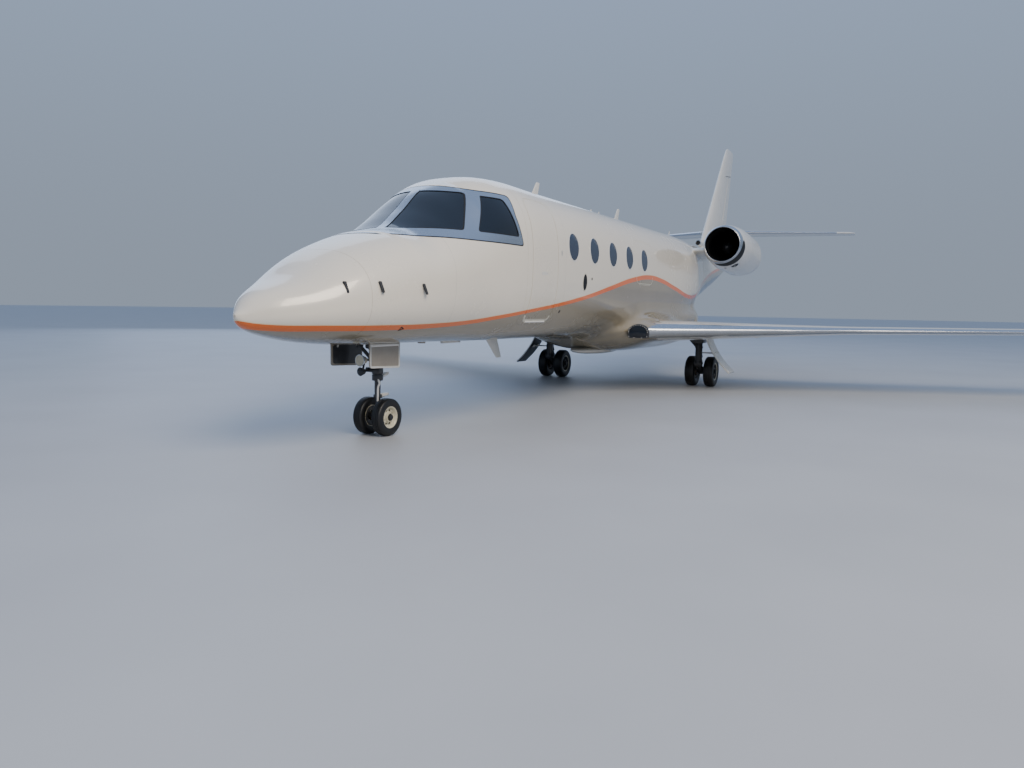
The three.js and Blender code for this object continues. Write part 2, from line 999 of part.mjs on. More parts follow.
function engineCore(side) {
  const ring = VANE_RADIUS - SEAT_GAP;
  return turned(side, [
    [CORE_FRONT, 0],
    [CORE_FRONT, 130],
    [850, 200],
    [1400, 236],
    [1400, ring],
    [1490, ring],
    [1490, 236],
    [2400, 235],
    [2950, 180],
    [2950, 130],
    [3190, 0],
  ]);
}

function fan(side) {
  const { back, hub, shaft } = FAN;
  const spinner = turned(
    side,
    [
      [back - 220, 0],
      [back - 150, 75],
      [back - 60, hub],
      [back + 60, hub + 5],
      [back + 60, shaft],
      [CORE_FRONT - SEAT_GAP, shaft],
      [CORE_FRONT - SEAT_GAP, 0],
    ],
    FAN.blades,
  );
  const blades = Array.from({ length: FAN.blades }, (_, k) => fanBlade(k));
  return join(
    spinner,
    ...blades.map((blade) => solid(blade.applyMatrix4(podMatrix(side)))),
  );
}

// A thin flat blade, wider at its tip, turned to its place round the spinner
function fanBlade(index) {
  const { hub, radius, embedded, depth, tipDepth } = FAN;
  const length = radius - hub + embedded;
  const blade = new THREE.BoxGeometry(1, FAN.thick, length);
  blade.translate(0, 0, hub - embedded + length / 2);
  const position = blade.attributes.position;
  for (let i = 0; i < position.count; i += 1) {
    const outward = (position.getZ(i) - hub) / (radius - hub);
    const across = THREE.MathUtils.lerp(depth, tipDepth, outward);
    position.setX(i, position.getX(i) * across);
  }
  blade.rotateZ(THREE.MathUtils.degToRad(FAN.turn));
  blade.rotateX((2 * Math.PI * (index + FAN.phase)) / FAN.blades);
  return blade.translate(-FAN.back, 0, 0);
}

function pylon(side) {
  const ring = (y, lead, chord) =>
    foilRing(
      new THREE.Vector3(NOSE_X - lead, side * y, PYLON.z),
      new THREE.Vector3(0, 0, 1),
      chord,
      PYLON.thickness,
    );
  return loft([
    ring(400, PYLON.lead - 60, PYLON.chord + 160),
    ring(1250, PYLON.lead, PYLON.chord),
  ])
    .subtract(grownHull)
    .subtract(nacelleFilled(side, SEAT_GAP));
}

// Wheels turn about an axle along Y; profiles are given as radius and side offset
function wheelPart(profile) {
  const points = [...profile, profile[0]].map(
    ([radius, y]) => new THREE.Vector2(radius, y),
  );
  return new THREE.LatheGeometry(points, WHEEL_SEGMENTS);
}

function tyre({ radius, rim, width }) {
  const half = width / 2;
  return wheelPart([
    [rim, -0.38 * width],
    [(rim + radius) / 2, -half],
    [radius - 0.14 * width, -0.42 * width],
    [radius, -0.2 * width],
    [radius, 0.2 * width],
    [radius - 0.14 * width, 0.42 * width],
    [(rim + radius) / 2, half],
    [rim, 0.38 * width],
  ]);
}

function rim({ rim: seatRadius, width, axleRadius }) {
  const edge = seatRadius - SEAT_GAP;
  const bore = axleRadius + BEARING_GAP;
  const flange = 0.38 * width;
  return wheelPart([
    [bore, -0.25 * width],
    [edge, -flange],
    [edge, flange],
    [edge - 18, 0.12 * width],
    [bore + 20, 0.12 * width],
    [bore, 0.4 * width],
  ]);
}

// A tyre and its rim, the rim's outer face turned away from the leg
function addWheel(name, size, y, outward) {
  for (const [part, geometry, material] of [
    ["tyre", tyre(size), RUBBER],
    ["rim", rim(size), RIM_PAINT],
  ]) {
    const mesh = new THREE.Mesh(geometry, material);
    mesh.name = name.replace("wheel", part);
    mesh.position.set(NOSE_X - size.station, y, size.radius);
    if (outward < 0) mesh.rotation.z = Math.PI;
    jet.add(mesh);
  }
}

// A bar along Y at a station and height
function crossBar(station, z, from, to, radius, segments = 10) {
  return bar([station, from, z], [station, to, z], radius, radius, segments);
}

function noseFork() {
  const s = NOSE.station;
  const { split, piston, collar } = NOSE_LEG;
  const { top, apex, bottom, reach, radius } = TORQUE_LINK;
  const link = (z) =>
    join(
      ...[-1, 1].map((way) =>
        bar([s + 20, way * 26, z], [s + reach, way * 12, apex], radius, radius, 8),
      ),
    );
  return join(
    bar([s, 0, split], [s, 0, NOSE.radius], piston),
    bar([s, 0, split], [s, 0, top - 35], collar),
    crossBar(s, NOSE.radius, -NOSE.axle, NOSE.axle, NOSE.axleRadius, WHEEL_SEGMENTS),
    crossBar(s, NOSE.radius, -52, 52, 50),
    link(top),
    link(bottom),
    crossBar(s + reach, apex, -24, 24, 18),
    box([s - 30, s + 45], [-34, 34], [bottom - 23, bottom + 22]),
  );
}

function noseLeg() {
  const s = NOSE.station;
  const { split, post, collar, pivot } = NOSE_LEG;
  const inside = BAY.halfWidth - SEAT_GAP;
  const anchor = [BAY.front + 60, 1130];
  const brace = [-1, 1].map((way) =>
    bar([s - 20, way * 20, 760], [anchor[0], way * 95, anchor[1]], 20),
  );
  const { front, rear, z, radius } = TAXI_LIGHT;
  return join(
    bar([s, 0, split + SEAT_GAP], [s, 0, pivot + 30], post),
    bar([s, 0, split + 10], [s, 0, split + 80], collar),
    crossBar(s, pivot, -inside, inside, 34),
    ...brace,
    crossBar(...anchor, -inside, inside, 22),
    bar([rear, 0, z], [front, 0, z], radius / 2, radius, 16),
    bar([s, 0, z], [rear - 10, 0, z], 16, 16, 8),
  );
}

function noseDoor(side) {
  const { front, rear, bottom, y, half } = NOSE_DOOR;
  const leaf = box([front, rear], sideSpan(side, y - half, y + half), [bottom, 1050]);
  return leaf.subtract(grownHull);
}

function mainLeg(side, parent) {
  const y = side * MAIN.y;
  const s = MAIN_LEG.station;
  const { radius, elbow, head, top } = MAIN_LEG;
  const knuckle = 62;
  return join(
    bar([s, y, elbow], [s, y, top], radius),
    box([s - 150, s + 130], [y - 105, y + 105], [head, top]),
    crossBar(s, elbow, y - knuckle, y + knuckle, radius + 6),
    bar([s, y, elbow], [MAIN.station, y, MAIN.radius], 48, 52),
    crossBar(MAIN.station, MAIN.radius, y - knuckle, y + knuckle, 58),
    crossBar(MAIN.station, MAIN.radius, y - MAIN.axle, y + MAIN.axle, MAIN.axleRadius, WHEEL_SEGMENTS),
    bar([s + 45, y, head], [MAIN.station - 35, y, MAIN.radius + 60], 34, 26),
    bar([s, y - side * 30, head - 80], [s - 20, y - side * 215, top - 20], 26),
  ).subtract(parent);
}

// The leg's door hangs from the wing and curves outwards as it goes down
function mainDoor(side, parent) {
  const path = columns("y z", [
    [1640, 950],
    [1695, 790],
    [1785, 630],
    [1920, 450],
    [2085, 285],
  ]);
  const { front, rear, thickness } = MAIN_DOOR;
  const ring = ({ y, z }, i) => {
    const before = path[Math.max(i - 1, 0)];
    const after = path[Math.min(i + 1, path.length - 1)];
    const along = new THREE.Vector2(after.y - before.y, after.z - before.z);
    along.setLength(thickness);
    const corner = (station, share) =>
      new THREE.Vector3(
        NOSE_X - station,
        side * (y - share * along.y),
        z + share * along.x,
      );
    const ends = [front - 6 * i, rear - 18 * i];
    return [
      corner(ends[0], 0),
      corner(ends[1], 0),
      corner(ends[1], 1),
      corner(ends[0], 1),
    ];
  };
  return loft(path.map(ring)).subtract(parent);
}

// Fuselage pieces
const shell = cabinShell();
add("radome", radome(), PAINT);
add("cockpit_section", cockpitSection(), PAINT);
add("cabin_section", cabinSection(shell), PAINT);
add("tail_cone", tailCone(), PAINT);
add("belly_fairing", fairing().subtract(grownHull), LOWER_PAINT);
add("entry_door", entryDoor(shell), PAINT);
add("cabin_floor", floor(), CARPET);
add("instrument_panel", instrumentPanel(), PLASTIC);
for (const [word, side] of SIDES) {
  const ahead = cockpitGlass(windshieldCut, WINDSHIELD, side);
  const beside = cockpitGlass(sideWindowCut, SIDE_WINDOW, side);
  add(`windshield_${word}`, ahead, GLASS);
  add(`side_window_${word}`, beside, GLASS);
  add(`cabin_glazing_${word}`, cabinGlazing(side), GLASS);
  add(`pilot_seat_${word}`, pilotSeat(side), LEATHER);
  add(`seat_row_${word}`, seatRow(side), LEATHER);
}

// Wings, with flap and aileron cut out, then what hangs from them
for (const [word, side] of SIDES) {
  const clear = (shape) =>
    shape.subtract(grownHull).subtract(fairing(SEAT_GAP));
  const point = ([station, y]) =>
    new THREE.Vector3(NOSE_X - station, side * y, wingMiddle(station, y));
  let rest = clear(wing(side));
  for (const name of ["flap", "aileron"]) {
    const { from, to, nose } = SURFACES[name];
    const cut = hingedSurface(rest, point(from), point(to), nose);
    rest = cut.rest;
    add(`${name}_${word}`, cut.surface, PAINT);
  }
  const grown = wing(side, SEAT_GAP * 2);
  add(`wing_${word}`, rest.add(pad(WING_PAD, side)), PAINT);
  add(`main_leg_${word}`, mainLeg(side, grown), BARE_METAL);
  add(`main_door_${word}`, mainDoor(side, grown), PAINT);
}

// Tail
const tailplaneCut = finBody()
  .subtract(grownHull)
  .subtract(tailplaneBody(SEAT_GAP * 2));
const rudderPoint = ([station, z]) =>
  new THREE.Vector3(NOSE_X - station, 0, z);
const finCut = hingedSurface(
  tailplaneCut,
  rudderPoint(RUDDER.from),
  rudderPoint(RUDDER.to),
  RUDDER.nose,
);
add("fin", finCut.rest, PAINT);
add("rudder", finCut.surface, PAINT);
let tailplane = tailplaneBody();
for (const [word, side] of SIDES) {
  const point = ([station, y]) =>
    new THREE.Vector3(NOSE_X - station, side * y, TAILPLANE_Z);
  const cut = hingedSurface(
    tailplane,
    point(ELEVATOR.from),
    point(ELEVATOR.to),
    ELEVATOR.nose,
  );
  tailplane = cut.rest;
  add(`elevator_${word}`, cut.surface, PAINT);
}
add("tailplane", tailplane, PAINT);

// Engines
for (const [word, side] of SIDES) {
  add(`nacelle_${word}`, nacelle(side), PAINT);
  add(`engine_${word}`, engineCore(side), DARK_METAL);
  add(`fan_${word}`, fan(side), BARE_METAL);
  add(`pylon_${word}`, pylon(side), PAINT);
}

// Landing gear
add("nose_leg", noseLeg(), BARE_METAL);
add("nose_fork", noseFork(), BARE_METAL);
for (const [word, side] of SIDES) {
  add(`nose_door_${word}`, noseDoor(side), LOWER_PAINT);
  addWheel(`nose_wheel_${word}`, NOSE, side * NOSE.twin, side);
  for (const [place, way] of [
    ["outer", 1],
    ["inner", -1],
  ]) {
    const y = side * (MAIN.y + way * MAIN.twin);
    addWheel(`main_wheel_${word}_${place}`, MAIN, y, side * way);
  }
}

export default jet;
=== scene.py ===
"""A twin-engined business jet parked on its landing gear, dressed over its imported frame.

+X points forward, +Y to port and +Z up, in metres, and the origin is on the ground under the middle of the
aircraft's length. A station is the distance aft of the nose tip.
"""

import functools
import math

import bpy
import numpy as np
from bpy.props import FloatProperty, FloatVectorProperty, IntProperty, PointerProperty
from mathutils import Matrix, Vector


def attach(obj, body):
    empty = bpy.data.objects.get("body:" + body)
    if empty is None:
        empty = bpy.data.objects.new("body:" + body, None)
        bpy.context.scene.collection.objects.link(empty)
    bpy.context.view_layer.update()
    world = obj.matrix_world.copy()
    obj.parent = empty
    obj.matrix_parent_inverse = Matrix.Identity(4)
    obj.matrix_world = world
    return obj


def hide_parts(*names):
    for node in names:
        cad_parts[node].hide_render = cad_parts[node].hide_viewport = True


bl_info = {
    "name": "Parked business jet",
    "version": (1, 0, 0),
    "blender": (4, 5, 0),
    "location": "View3D > Sidebar > Jet",
    "description": "Dresses the packed frame of a business jet",
    "category": "Add Mesh",
}

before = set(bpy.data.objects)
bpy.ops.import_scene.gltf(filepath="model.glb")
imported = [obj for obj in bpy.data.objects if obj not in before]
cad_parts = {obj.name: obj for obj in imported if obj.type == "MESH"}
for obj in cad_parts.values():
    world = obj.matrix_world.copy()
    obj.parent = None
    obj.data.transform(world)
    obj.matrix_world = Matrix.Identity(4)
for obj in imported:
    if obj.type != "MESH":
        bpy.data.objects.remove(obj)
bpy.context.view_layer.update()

# Main sizes
LENGTH = 17.3
NOSE_X = LENGTH / 2
PORT = 1
STARBOARD = -1
SIDES = (("left", PORT), ("right", STARBOARD))
SEAM = 0.0015  # half the groove between two skin panels
MOVING_GAP = 0.009
CABIN_WALL = 0.08
BEYOND = 1.1  # further out than the fuselage's side


def columns(heading, *rows):
    """Rows of numbers as dictionaries, their keys named by the heading"""
    names = heading.split()
    return [dict(zip(names, row)) for row in rows]


# Fuselage sections: superellipses about the widest height, with one exponent above it and one below
HULL = columns(
    "station half_width top bottom widest round_above round_below",
    (0, 0.012, 1.262, 1.238, 1.25, 2, 2),
    (0.012, 0.036, 1.276, 1.212, 1.251, 2.05, 2.1),
    (0.05, 0.08, 1.312, 1.166, 1.256, 2.1, 2.1),
    (0.12, 0.157, 1.392, 1.13, 1.264, 2.15, 2.1),
    (0.2, 0.243, 1.45, 1.104, 1.275, 2.2, 2.15),
    (0.34, 0.361, 1.52, 1.068, 1.295, 2.25, 2.15),
    (0.5, 0.468, 1.59, 1.036, 1.32, 2.3, 2.2),
    (0.7, 0.573, 1.72, 1.006, 1.357, 2.3, 2.25),
    (0.9, 0.653, 1.85, 0.987, 1.4, 2.25, 2.3),
    (1.3, 0.753, 2.01, 0.97, 1.48, 2.35, 2.45),
    (1.6, 0.803, 2.104, 0.969, 1.54, 2.4, 2.6),
    (1.83, 0.835, 2.143, 0.968, 1.588, 2.3, 2.65),
    (2.15, 0.866, 2.355, 0.967, 1.652, 2.15, 2.75),
    (2.465, 0.883, 2.615, 0.965, 1.722, 1.9, 2.85),
    (2.75, 0.905, 2.757, 0.962, 1.78, 2.3, 2.9),
    (3.1, 0.94, 2.864, 0.956, 1.831, 2.7, 3),
    (3.6, 0.967, 2.892, 0.951, 1.882, 2.75, 3),
    (4.3, 0.97, 2.882, 0.95, 1.9, 2.75, 3),
    (9.2, 0.97, 2.882, 0.938, 1.9, 2.8, 3),
    (10, 0.955, 2.886, 0.99, 1.93, 2.8, 2.9),
    (10.8, 0.89, 2.886, 1.115, 1.985, 2.7, 2.7),
    (11.4, 0.79, 2.886, 1.245, 2.05, 2.6, 2.5),
    (12.2, 0.64, 2.886, 1.42, 2.15, 2.5, 2.35),
    (13.6, 0.45, 2.884, 1.725, 2.3, 2.4, 2.2),
    (15.3, 0.265, 2.862, 2.11, 2.48, 2.3, 2.1),
    (16.5, 0.135, 2.815, 2.44, 2.64, 2.2, 2),
    (16.9, 0.07, 2.76, 2.6, 2.68, 2, 2),
)
RADOME_END = 0.95
COCKPIT_END = 3.35
CABIN_END = 9.0
TAIL_END = 16.9
FLOOR_TOP = 1.12

# The fairing under the wing's centre section, as superellipses about a fixed height
FAIRING_MIDDLE = 1.21
FAIRING_TOP = 1.5
FAIRING_ROUND = 2.7
FAIRING = columns(
    "station half_width bottom", (5.8, 0.4, 0.99), (6.15, 0.54, 0.965), (6.5, 0.7, 0.91), (6.9, 0.87, 0.79),
    (7.4, 0.97, 0.665), (8.2, 0.99, 0.632), (9.6, 0.99, 0.632), (10.4, 0.975, 0.665), (11.0, 0.9, 0.8),
    (11.7, 0.64, 1.08), (12.1, 0.45, 1.28)
)

# Window and door outlines seen from the side: station and height
WINDSHIELD = ((1.845, 2.146), (2.425, 2.628), (2.7, 2.604), (2.345, 2.15))
SIDE_WINDOW = ((2.52, 2.152), (2.8, 2.58), (3.07, 2.57), (3.185, 2.15))
WINDOW_SURROUND = (
    (1.46, 2.062), (1.46, 2.3), (2.02, 2.62), (2.5, 2.72), (2.62, 2.672), (2.8, 2.632), (3.19, 2.612),
    (3.165, 2.4), (3.25, 2.066)
)
WINDSHIELD_HALF_POST = 0.052
WINDOW_CORNERS = (0.045, 0.014, 0.045, 0.045)
CABIN_WINDOW = {"first": 4.605, "pitch": 0.69, "count": 5, "z": 2.153, "half_long": 0.154, "half_tall": 0.172}
DOOR = {"front": 3.46, "rear": 4.128, "bottom": 1.195, "top": 2.652}
DOOR_CORNERS = (0.07, 0.15, 0.15, 0.07)
DOOR_STRIP_TOP = 1.42
DOOR_HINGE = {"y": 0.818, "barrel": 0.012, "from_end": 0.08}
EXIT_HATCH = {"front": 6.985, "rear": 7.765, "bottom": 1.78, "top": 2.46}
BAY = {"front": 1.37, "rear": 1.985, "half_width": 0.2, "top": 1.215, "wall": 0.014}

# The wing to the top of the winglet: leading edge, chord, and a lean of the section in degrees
WING = columns(
    "y z lead chord thickness lean", (0.7, 1.026, 6.701, 3.22, 0.12, 0), (0.95, 1.03, 6.87, 3.1, 0.12, 0),
    (3.9, 1.08, 8.86, 1.7, 0.08, 0), (8.08, 1.128, 10.81, 1.004, 0.085, 0),
    (8.27, 1.165, 10.91, 0.905, 0.085, 35), (8.375, 1.29, 11.07, 0.76, 0.085, 68),
    (8.453, 1.68, 11.42, 0.43, 0.08, 80)
)
WINGLET_ROW = 3  # where the wing starts to turn up
WING_DROP = math.tan(math.radians(1))
FIN = columns(
    "z lead chord thickness", (2.6, 13.961, 2.524, 0.1), (3.4, 14.595, 2.128, 0.1),
    (5.5, 16.257, 0.988, 0.095), (5.69, 16.425, 0.855, 0.07), (5.76, 16.56, 0.64, 0.03)
)
TAILPLANE = columns(
    "y lead chord thickness", (0, 15.15, 1.55, 0.1), (3.18, 16.52, 0.765, 0.09), (3.285, 16.615, 0.685, 0.05)
)
TAILPLANE_Z = 3.4

# Hinges: each end's station and side offset or height, with the nose radius there
FLAP = {"ends": ((9.242, 1.35), (10.688, 5.6)), "nose": (0.06, 0.028)}
AILERON = {"ends": ((10.756, 5.8), (11.438, 7.8)), "nose": (0.027, 0.021)}
ELEVATOR = {"ends": ((16.33, 0.32), (17.0, 2.9)), "nose": (0.038, 0.02)}
RUDDER = {"ends": ((16.17, 3.8), (16.68, 4.99)), "nose": (0.047, 0.03)}

# Engine pods, turned a little outwards and upwards at the front; profiles are distance back and radius
POD = {"station": 10.65, "y": 1.4, "z": 2.68, "toe": 2.6, "pitch": 2.2}
POD_LENGTH = 3.1
POD_OUTSIDE = ((0.15, 0.396), (0.45, 0.432), (0.9, 0.457), (1.9, 0.459), (2.5, 0.4), (POD_LENGTH, 0.303))
POD_LIP = (
    (0.11, 0.317), (0.03, 0.324), (0.006, 0.332), (0, 0.34), (0.008, 0.352), (0.04, 0.368), (0.15, 0.396)
)
LIP_BACK = 0.12  # where the bare lip ends on the outside
DUCT = ((0.11, 0.317), (0.25, 0.321), (0.56, 0.366), (0.9, 0.368), (1.39, 0.39))
FAN = {"back": 0.69, "radius": 0.358, "hub": 0.12, "blades": 22, "root_turn": 30, "tip_turn": 62}
PYLON = {"lead": 11.08, "chord": 2.15, "thickness": 0.085, "z": 2.6}

# Landing gear: a pair of wheels' station and offset, its tyre and axle, then its leg
MAIN = {
    "station": 9.18, "y": 1.488, "twin": 0.168, "radius": 0.271, "rim": 0.152, "width": 0.178, "axle": 0.262,
    "axle_radius": 0.034, "paint": "dark_enamel"
}
MAIN_LEG = {"station": 8.93, "radius": 0.062, "elbow": 0.43, "head": 0.79, "top": 0.93}
NOSE = {
    "station": 1.825, "y": 0.0, "twin": 0.122, "radius": 0.198, "rim": 0.112, "width": 0.12, "axle": 0.188,
    "axle_radius": 0.028, "paint": "wheel_enamel"
}
NOSE_LEG = {"split": 0.64, "piston": 0.032, "post": 0.048, "collar": 0.06, "pivot": 1.12}
TORQUE_LINK = {"top": 0.61, "bottom": 0.408, "reach": 0.15, "radius": 0.016}
FORK_PIPE = ((-0.035, 0.03, 0.6), (-0.03, 0.05, 0.55), (-0.035, 0.035, 0.5), (-0.035, 0.03, 0.36))
NOSE_BRACE = {"anchor": (BAY["front"] + 0.06, 1.13), "foot_z": 0.76}
NOSE_HOSE = ((0.03, 1, 1.08), (0.06, 1, 0.98), (0.058, 1.2, 0.86), (0.052, 1, 0.73))
TAXI_LIGHT = {"front": 1.54, "rear": 1.625, "z": 0.8, "radius": 0.062}
NOSE_DOOR = {"front": 1.4, "rear": 1.87, "bottom": 0.722, "y": 0.25, "half": 0.008}
MAIN_DOOR = {"front": 8.7, "rear": 9.12, "thickness": 0.024}
MAIN_DOOR_PATH = ((1.64, 0.95), (1.695, 0.79), (1.785, 0.63), (1.92, 0.45), (2.085, 0.285))

AERIALS = columns(
    "station root chord reach", (5.13, 2.866, 0.23, 0.29), (7.25, 2.866, 0.09, 0.15),
    (7.59, 2.866, 0.09, 0.15), (8.33, 2.866, 0.23, 0.31), (11.56, 2.87, 0.11, 0.21),
    (3.99, 0.965, 0.3, -0.275)
)
AERIAL_TIP = {"back": 0.95, "chord": 0.5}
PROBES = columns("station y z", (0.736, 0.54, 1.548), (1.043, 0.68, 1.56), (1.546, 0.79, 1.555))

# The painted stripe's middle height along the fuselage
STRIPE = (
    (0.03, 1.181), (0.15, 1.158), (0.62, 1.151), (1.13, 1.152), (1.78, 1.164), (2.44, 1.2), (2.94, 1.253),
    (3.54, 1.324), (4.3, 1.41), (5.19, 1.538), (5.88, 1.662), (6.91, 1.834), (7.63, 1.897), (8.28, 1.865),
    (9.06, 1.761), (10.2, 1.63), (10.9, 1.68), (12.2, 1.97), (13.6, 2.24), (15.3, 2.47), (16.9, 2.67)
)
PANEL_JOINTS = (2.02, 4.35, 5.9, 8.06, 9.72, 10.42, 12.05, 13.3, 14.9)

# The camera stands where the photograph was taken
CAMERA_AT = (12.871, 4.977, 1.354)
CAMERA_RIGHT = (-0.48713, 0.87317, 0.016735)
CAMERA_UP = (-0.081356, -0.064449, 0.9946)
CAMERA_LENS = 25.89


# Small tools


def pick(*pieces):
    """Selects these pieces alone, the first of them active"""
    bpy.ops.object.select_all(action="DESELECT")
    for piece in pieces:
        piece.select_set(True)
    bpy.context.view_layer.objects.active = pieces[0]


def settled(name):
    """Names the primitive just added and moves its place into its mesh"""
    piece = bpy.context.active_object
    pick(piece)
    bpy.ops.object.transform_apply(location=True, rotation=True, scale=True)
    piece.name = piece.data.name = name
    return piece


def from_points(name, points, faces, edges=()):
    mesh = bpy.data.meshes.new(name)
    mesh.from_pydata([tuple(point) for point in points], list(edges), faces)
    piece = bpy.data.objects.new(name, mesh)
    bpy.context.scene.collection.objects.link(piece)
    return piece


def face_outwards(piece):
    pick(piece)
    bpy.ops.object.mode_set(mode="EDIT")
    bpy.ops.mesh.select_all(action="SELECT")
    bpy.ops.mesh.remove_doubles(threshold=1e-5)
    bpy.ops.mesh.normals_make_consistent(inside=False)
    bpy.ops.object.mode_set(mode="OBJECT")
    return piece


def smooth(piece, angle=35):
    pick(piece)
    bpy.ops.object.shade_smooth_by_angle(angle=math.radians(angle))
    return piece


def modify(piece, kind, **settings):
    """Puts a modifier on a piece and applies it"""
    modifier = piece.modifiers.new(kind.title(), kind)
    for name, value in settings.items():
        setattr(modifier, name, value)
    pick(piece)
    bpy.ops.object.modifier_apply(modifier=modifier.name)
    return piece


def bevelled(piece, width, segments=3, angle=35):
    modify(
        piece, "BEVEL", width=width, segments=segments, limit_method="ANGLE", angle_limit=math.radians(angle),
        harden_normals=False
    )
    return smooth(piece, angle)


def carve(piece, *cutters, operation="DIFFERENCE", keep=False):
    """Cuts a piece with closed shapes, which are used up unless they are kept"""
    for cutter in cutters:
        modify(piece, "BOOLEAN", object=cutter, operation=operation, solver="EXACT")
        if not keep:
            bpy.data.objects.remove(cutter)
    return piece


def copied(piece, name, matrix=None):
    """A copy with its own mesh, moved by a matrix, its faces outwards even where that mirrors it"""
    copy = piece.copy()
    copy.data = piece.data.copy()
    copy.name = copy.data.name = name
    bpy.context.scene.collection.objects.link(copy)
    if matrix is not None:
        copy.data.transform(matrix)
        if matrix.determinant() < 0:
            copy.data.flip_normals()
    return copy


MIRROR = Matrix.Scale(-1, 4, (0, 1, 0))


def both_sides(piece, stem):
    """The port piece and its mirror image, named for their sides, with the side's sign"""
    piece.name = piece.data.name = f"{stem}_left"
    return ((piece, "left", PORT), (copied(piece, f"{stem}_right", MIRROR), "right", STARBOARD))


def joined(name, *pieces):
    pick(*pieces)
    if len(pieces) > 1:
        bpy.ops.object.join()
    piece = bpy.context.view_layer.objects.active
    piece.name = piece.data.name = name
    return piece


def dress(piece, finish, body="airframe", stands_for=()):
    """Gives a piece its finish, the body that it rides on and the frame's nodes that it stands for"""
    piece.data.materials.clear()
    piece.data.materials.append(bpy.data.materials[finish])
    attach(piece, body)
    if stands_for:
        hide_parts(*stands_for)
    return piece


def dress_both(piece, stem, finish, slot, node=None, body=None):
    """Dresses a port piece and its mirror image, with their sides' words after the node's and body's names"""
    for half, word, _ in both_sides(piece, stem):
        nodes = [f"{node}_{word}"] if node else ()
        dress(half, finish, f"{body}_{word}" if body else "airframe", nodes)


def aft(station, y, z):
    """A place given by its station"""
    return Vector((NOSE_X - station, y, z))


# Shapes


def loft(name, rings, wrap=False):
    """A skin through rings that have the same number of points, closed at both ends or back to its start"""
    count = len(rings[0])
    points = [point for ring in rings for point in ring]
    faces = []
    for r in range(len(rings) - (0 if wrap else 1)):
        here = r * count
        after = ((r + 1) % len(rings)) * count
        for k in range(count):
            k_next = (k + 1) % count
            faces.append((here + k, here + k_next, after + k_next, after + k))
    if not wrap:
        faces.append(tuple(range(count)))
        faces.append(tuple(range((len(rings) - 1) * count, len(rings) * count)))
    return smooth(face_outwards(from_points(name, points, faces)))


def rod(name, start, end, radius, end_radius=None, sides=32, edge=0.0):
    """A round bar, or a taper where a second radius is given, its ends rounded by an edge radius"""
    start = Vector(start)
    along = Vector(end) - start
    bpy.ops.mesh.primitive_cone_add(
        vertices=sides,
        radius1=radius,
        radius2=radius if end_radius is None else end_radius,
        depth=along.length,
        location=start + along / 2,
        rotation=along.to_track_quat("Z", "Y").to_euler(),
    )
    piece = settled(name)
    return bevelled(piece, edge, 2) if edge else smooth(piece)


def slab(name, low, high, edge=0.004, segments=2):
    """A box between two corners with rounded edges"""
    low, high = Vector(low), Vector(high)
    bpy.ops.mesh.primitive_cube_add(size=1, location=(low + high) / 2)
    bpy.context.active_object.scale = high - low
    piece = settled(name)
    return bevelled(piece, edge, segments) if edge else piece


def ball(name, middle, half_sizes, segments=32, angle=60):
    bpy.ops.mesh.primitive_uv_sphere_add(
        segments=segments, ring_count=segments // 2, radius=1, location=middle
    )
    bpy.context.active_object.scale = half_sizes
    return smooth(settled(name), angle)


def turned(name, profile, place=None, steps=72):
    """A body turned about the X axis from points given as distance back and radius, then put in its place"""
    ring = [(-back, 0, radius) for back, radius in profile]
    closed = profile[0][1] > 0 or profile[-1][1] > 0
    edges = [(i, i + 1) for i in range(len(ring) - 1)]
    if closed:
        edges.append((len(ring) - 1, 0))
    piece = from_points(name, ring, [], edges)
    pick(piece)
    bpy.ops.object.mode_set(mode="EDIT")
    bpy.ops.mesh.select_all(action="SELECT")
    bpy.ops.mesh.spin(steps=steps, angle=math.tau, center=(0, 0, 0), axis=(1, 0, 0))
    bpy.ops.object.mode_set(mode="OBJECT")
    face_outwards(piece)
    if place is not None:
        piece.data.transform(place)
    return smooth(piece)


def smooth_path(points, steps):
    """Points along a curve that runs through the given ones"""
    points = [Vector(point) for point in points]
    before = points[0] * 2 - points[1]
    after = points[-1] * 2 - points[-2]
    padded = [before, *points, after]
    path = []
    for i in range(len(points) - 1):
        a, b, c, d = padded[i : i + 4]
        for k in range(steps):
            t = k / steps
            cubic = (3 * b - a - 3 * c + d) * t**3
            path.append(0.5 * (2 * b + (c - a) * t + (2 * a - 5 * b + 4 * c - d) * t**2 + cubic))
    return [*path, points[-1]]


def pipe(name, points, radius, steps=6, sides=10):
    """A rigid tube along a smooth path"""
    path = smooth_path(points, steps)
    rings = []
    side = Vector((0, 0, 1))
    for i, here in enumerate(path):
        along = (path[min(i + 1, len(path) - 1)] - path[max(i - 1, 0)]).normalized()
        side = (side - along * side.dot(along)).normalized()
        if side.length < 0.5:
            side = along.orthogonal().normalized()
        other = along.cross(side)
        angles = [math.tau * k / sides for k in range(sides)]
        rings.append([here + radius * (math.cos(a) * side + math.sin(a) * other) for a in angles])
    return loft(name, rings)


def curve_through(points):
    """A function through points, a cubic between each two, with slopes that never overshoot them"""
    at, value = np.array(points, float).T
    rise = np.diff(value) / np.diff(at)
    same_way = rise[:-1] * rise[1:] > 0
    total = np.where(same_way, rise[:-1] + rise[1:], 1.0)
    middle = np.where(same_way, 2 * rise[:-1] * rise[1:] / total, 0.0)
    slope = np.concatenate([rise[:1], middle, rise[-1:]])

    def value_at(x):
        i = np.clip(np.searchsorted(at, x, side="right") - 1, 0, len(at) - 2)
        span = at[i + 1] - at[i]
        t = (x - at[i]) / span
        step = value[i + 1] - value[i]
        first = slope[i] * span
        second = slope[i + 1] * span
        cubic = t**3 * (first + second - 2 * step)
        return value[i] + t * first + t**2 * (3 * step - 2 * first - second) + cubic

    return value_at


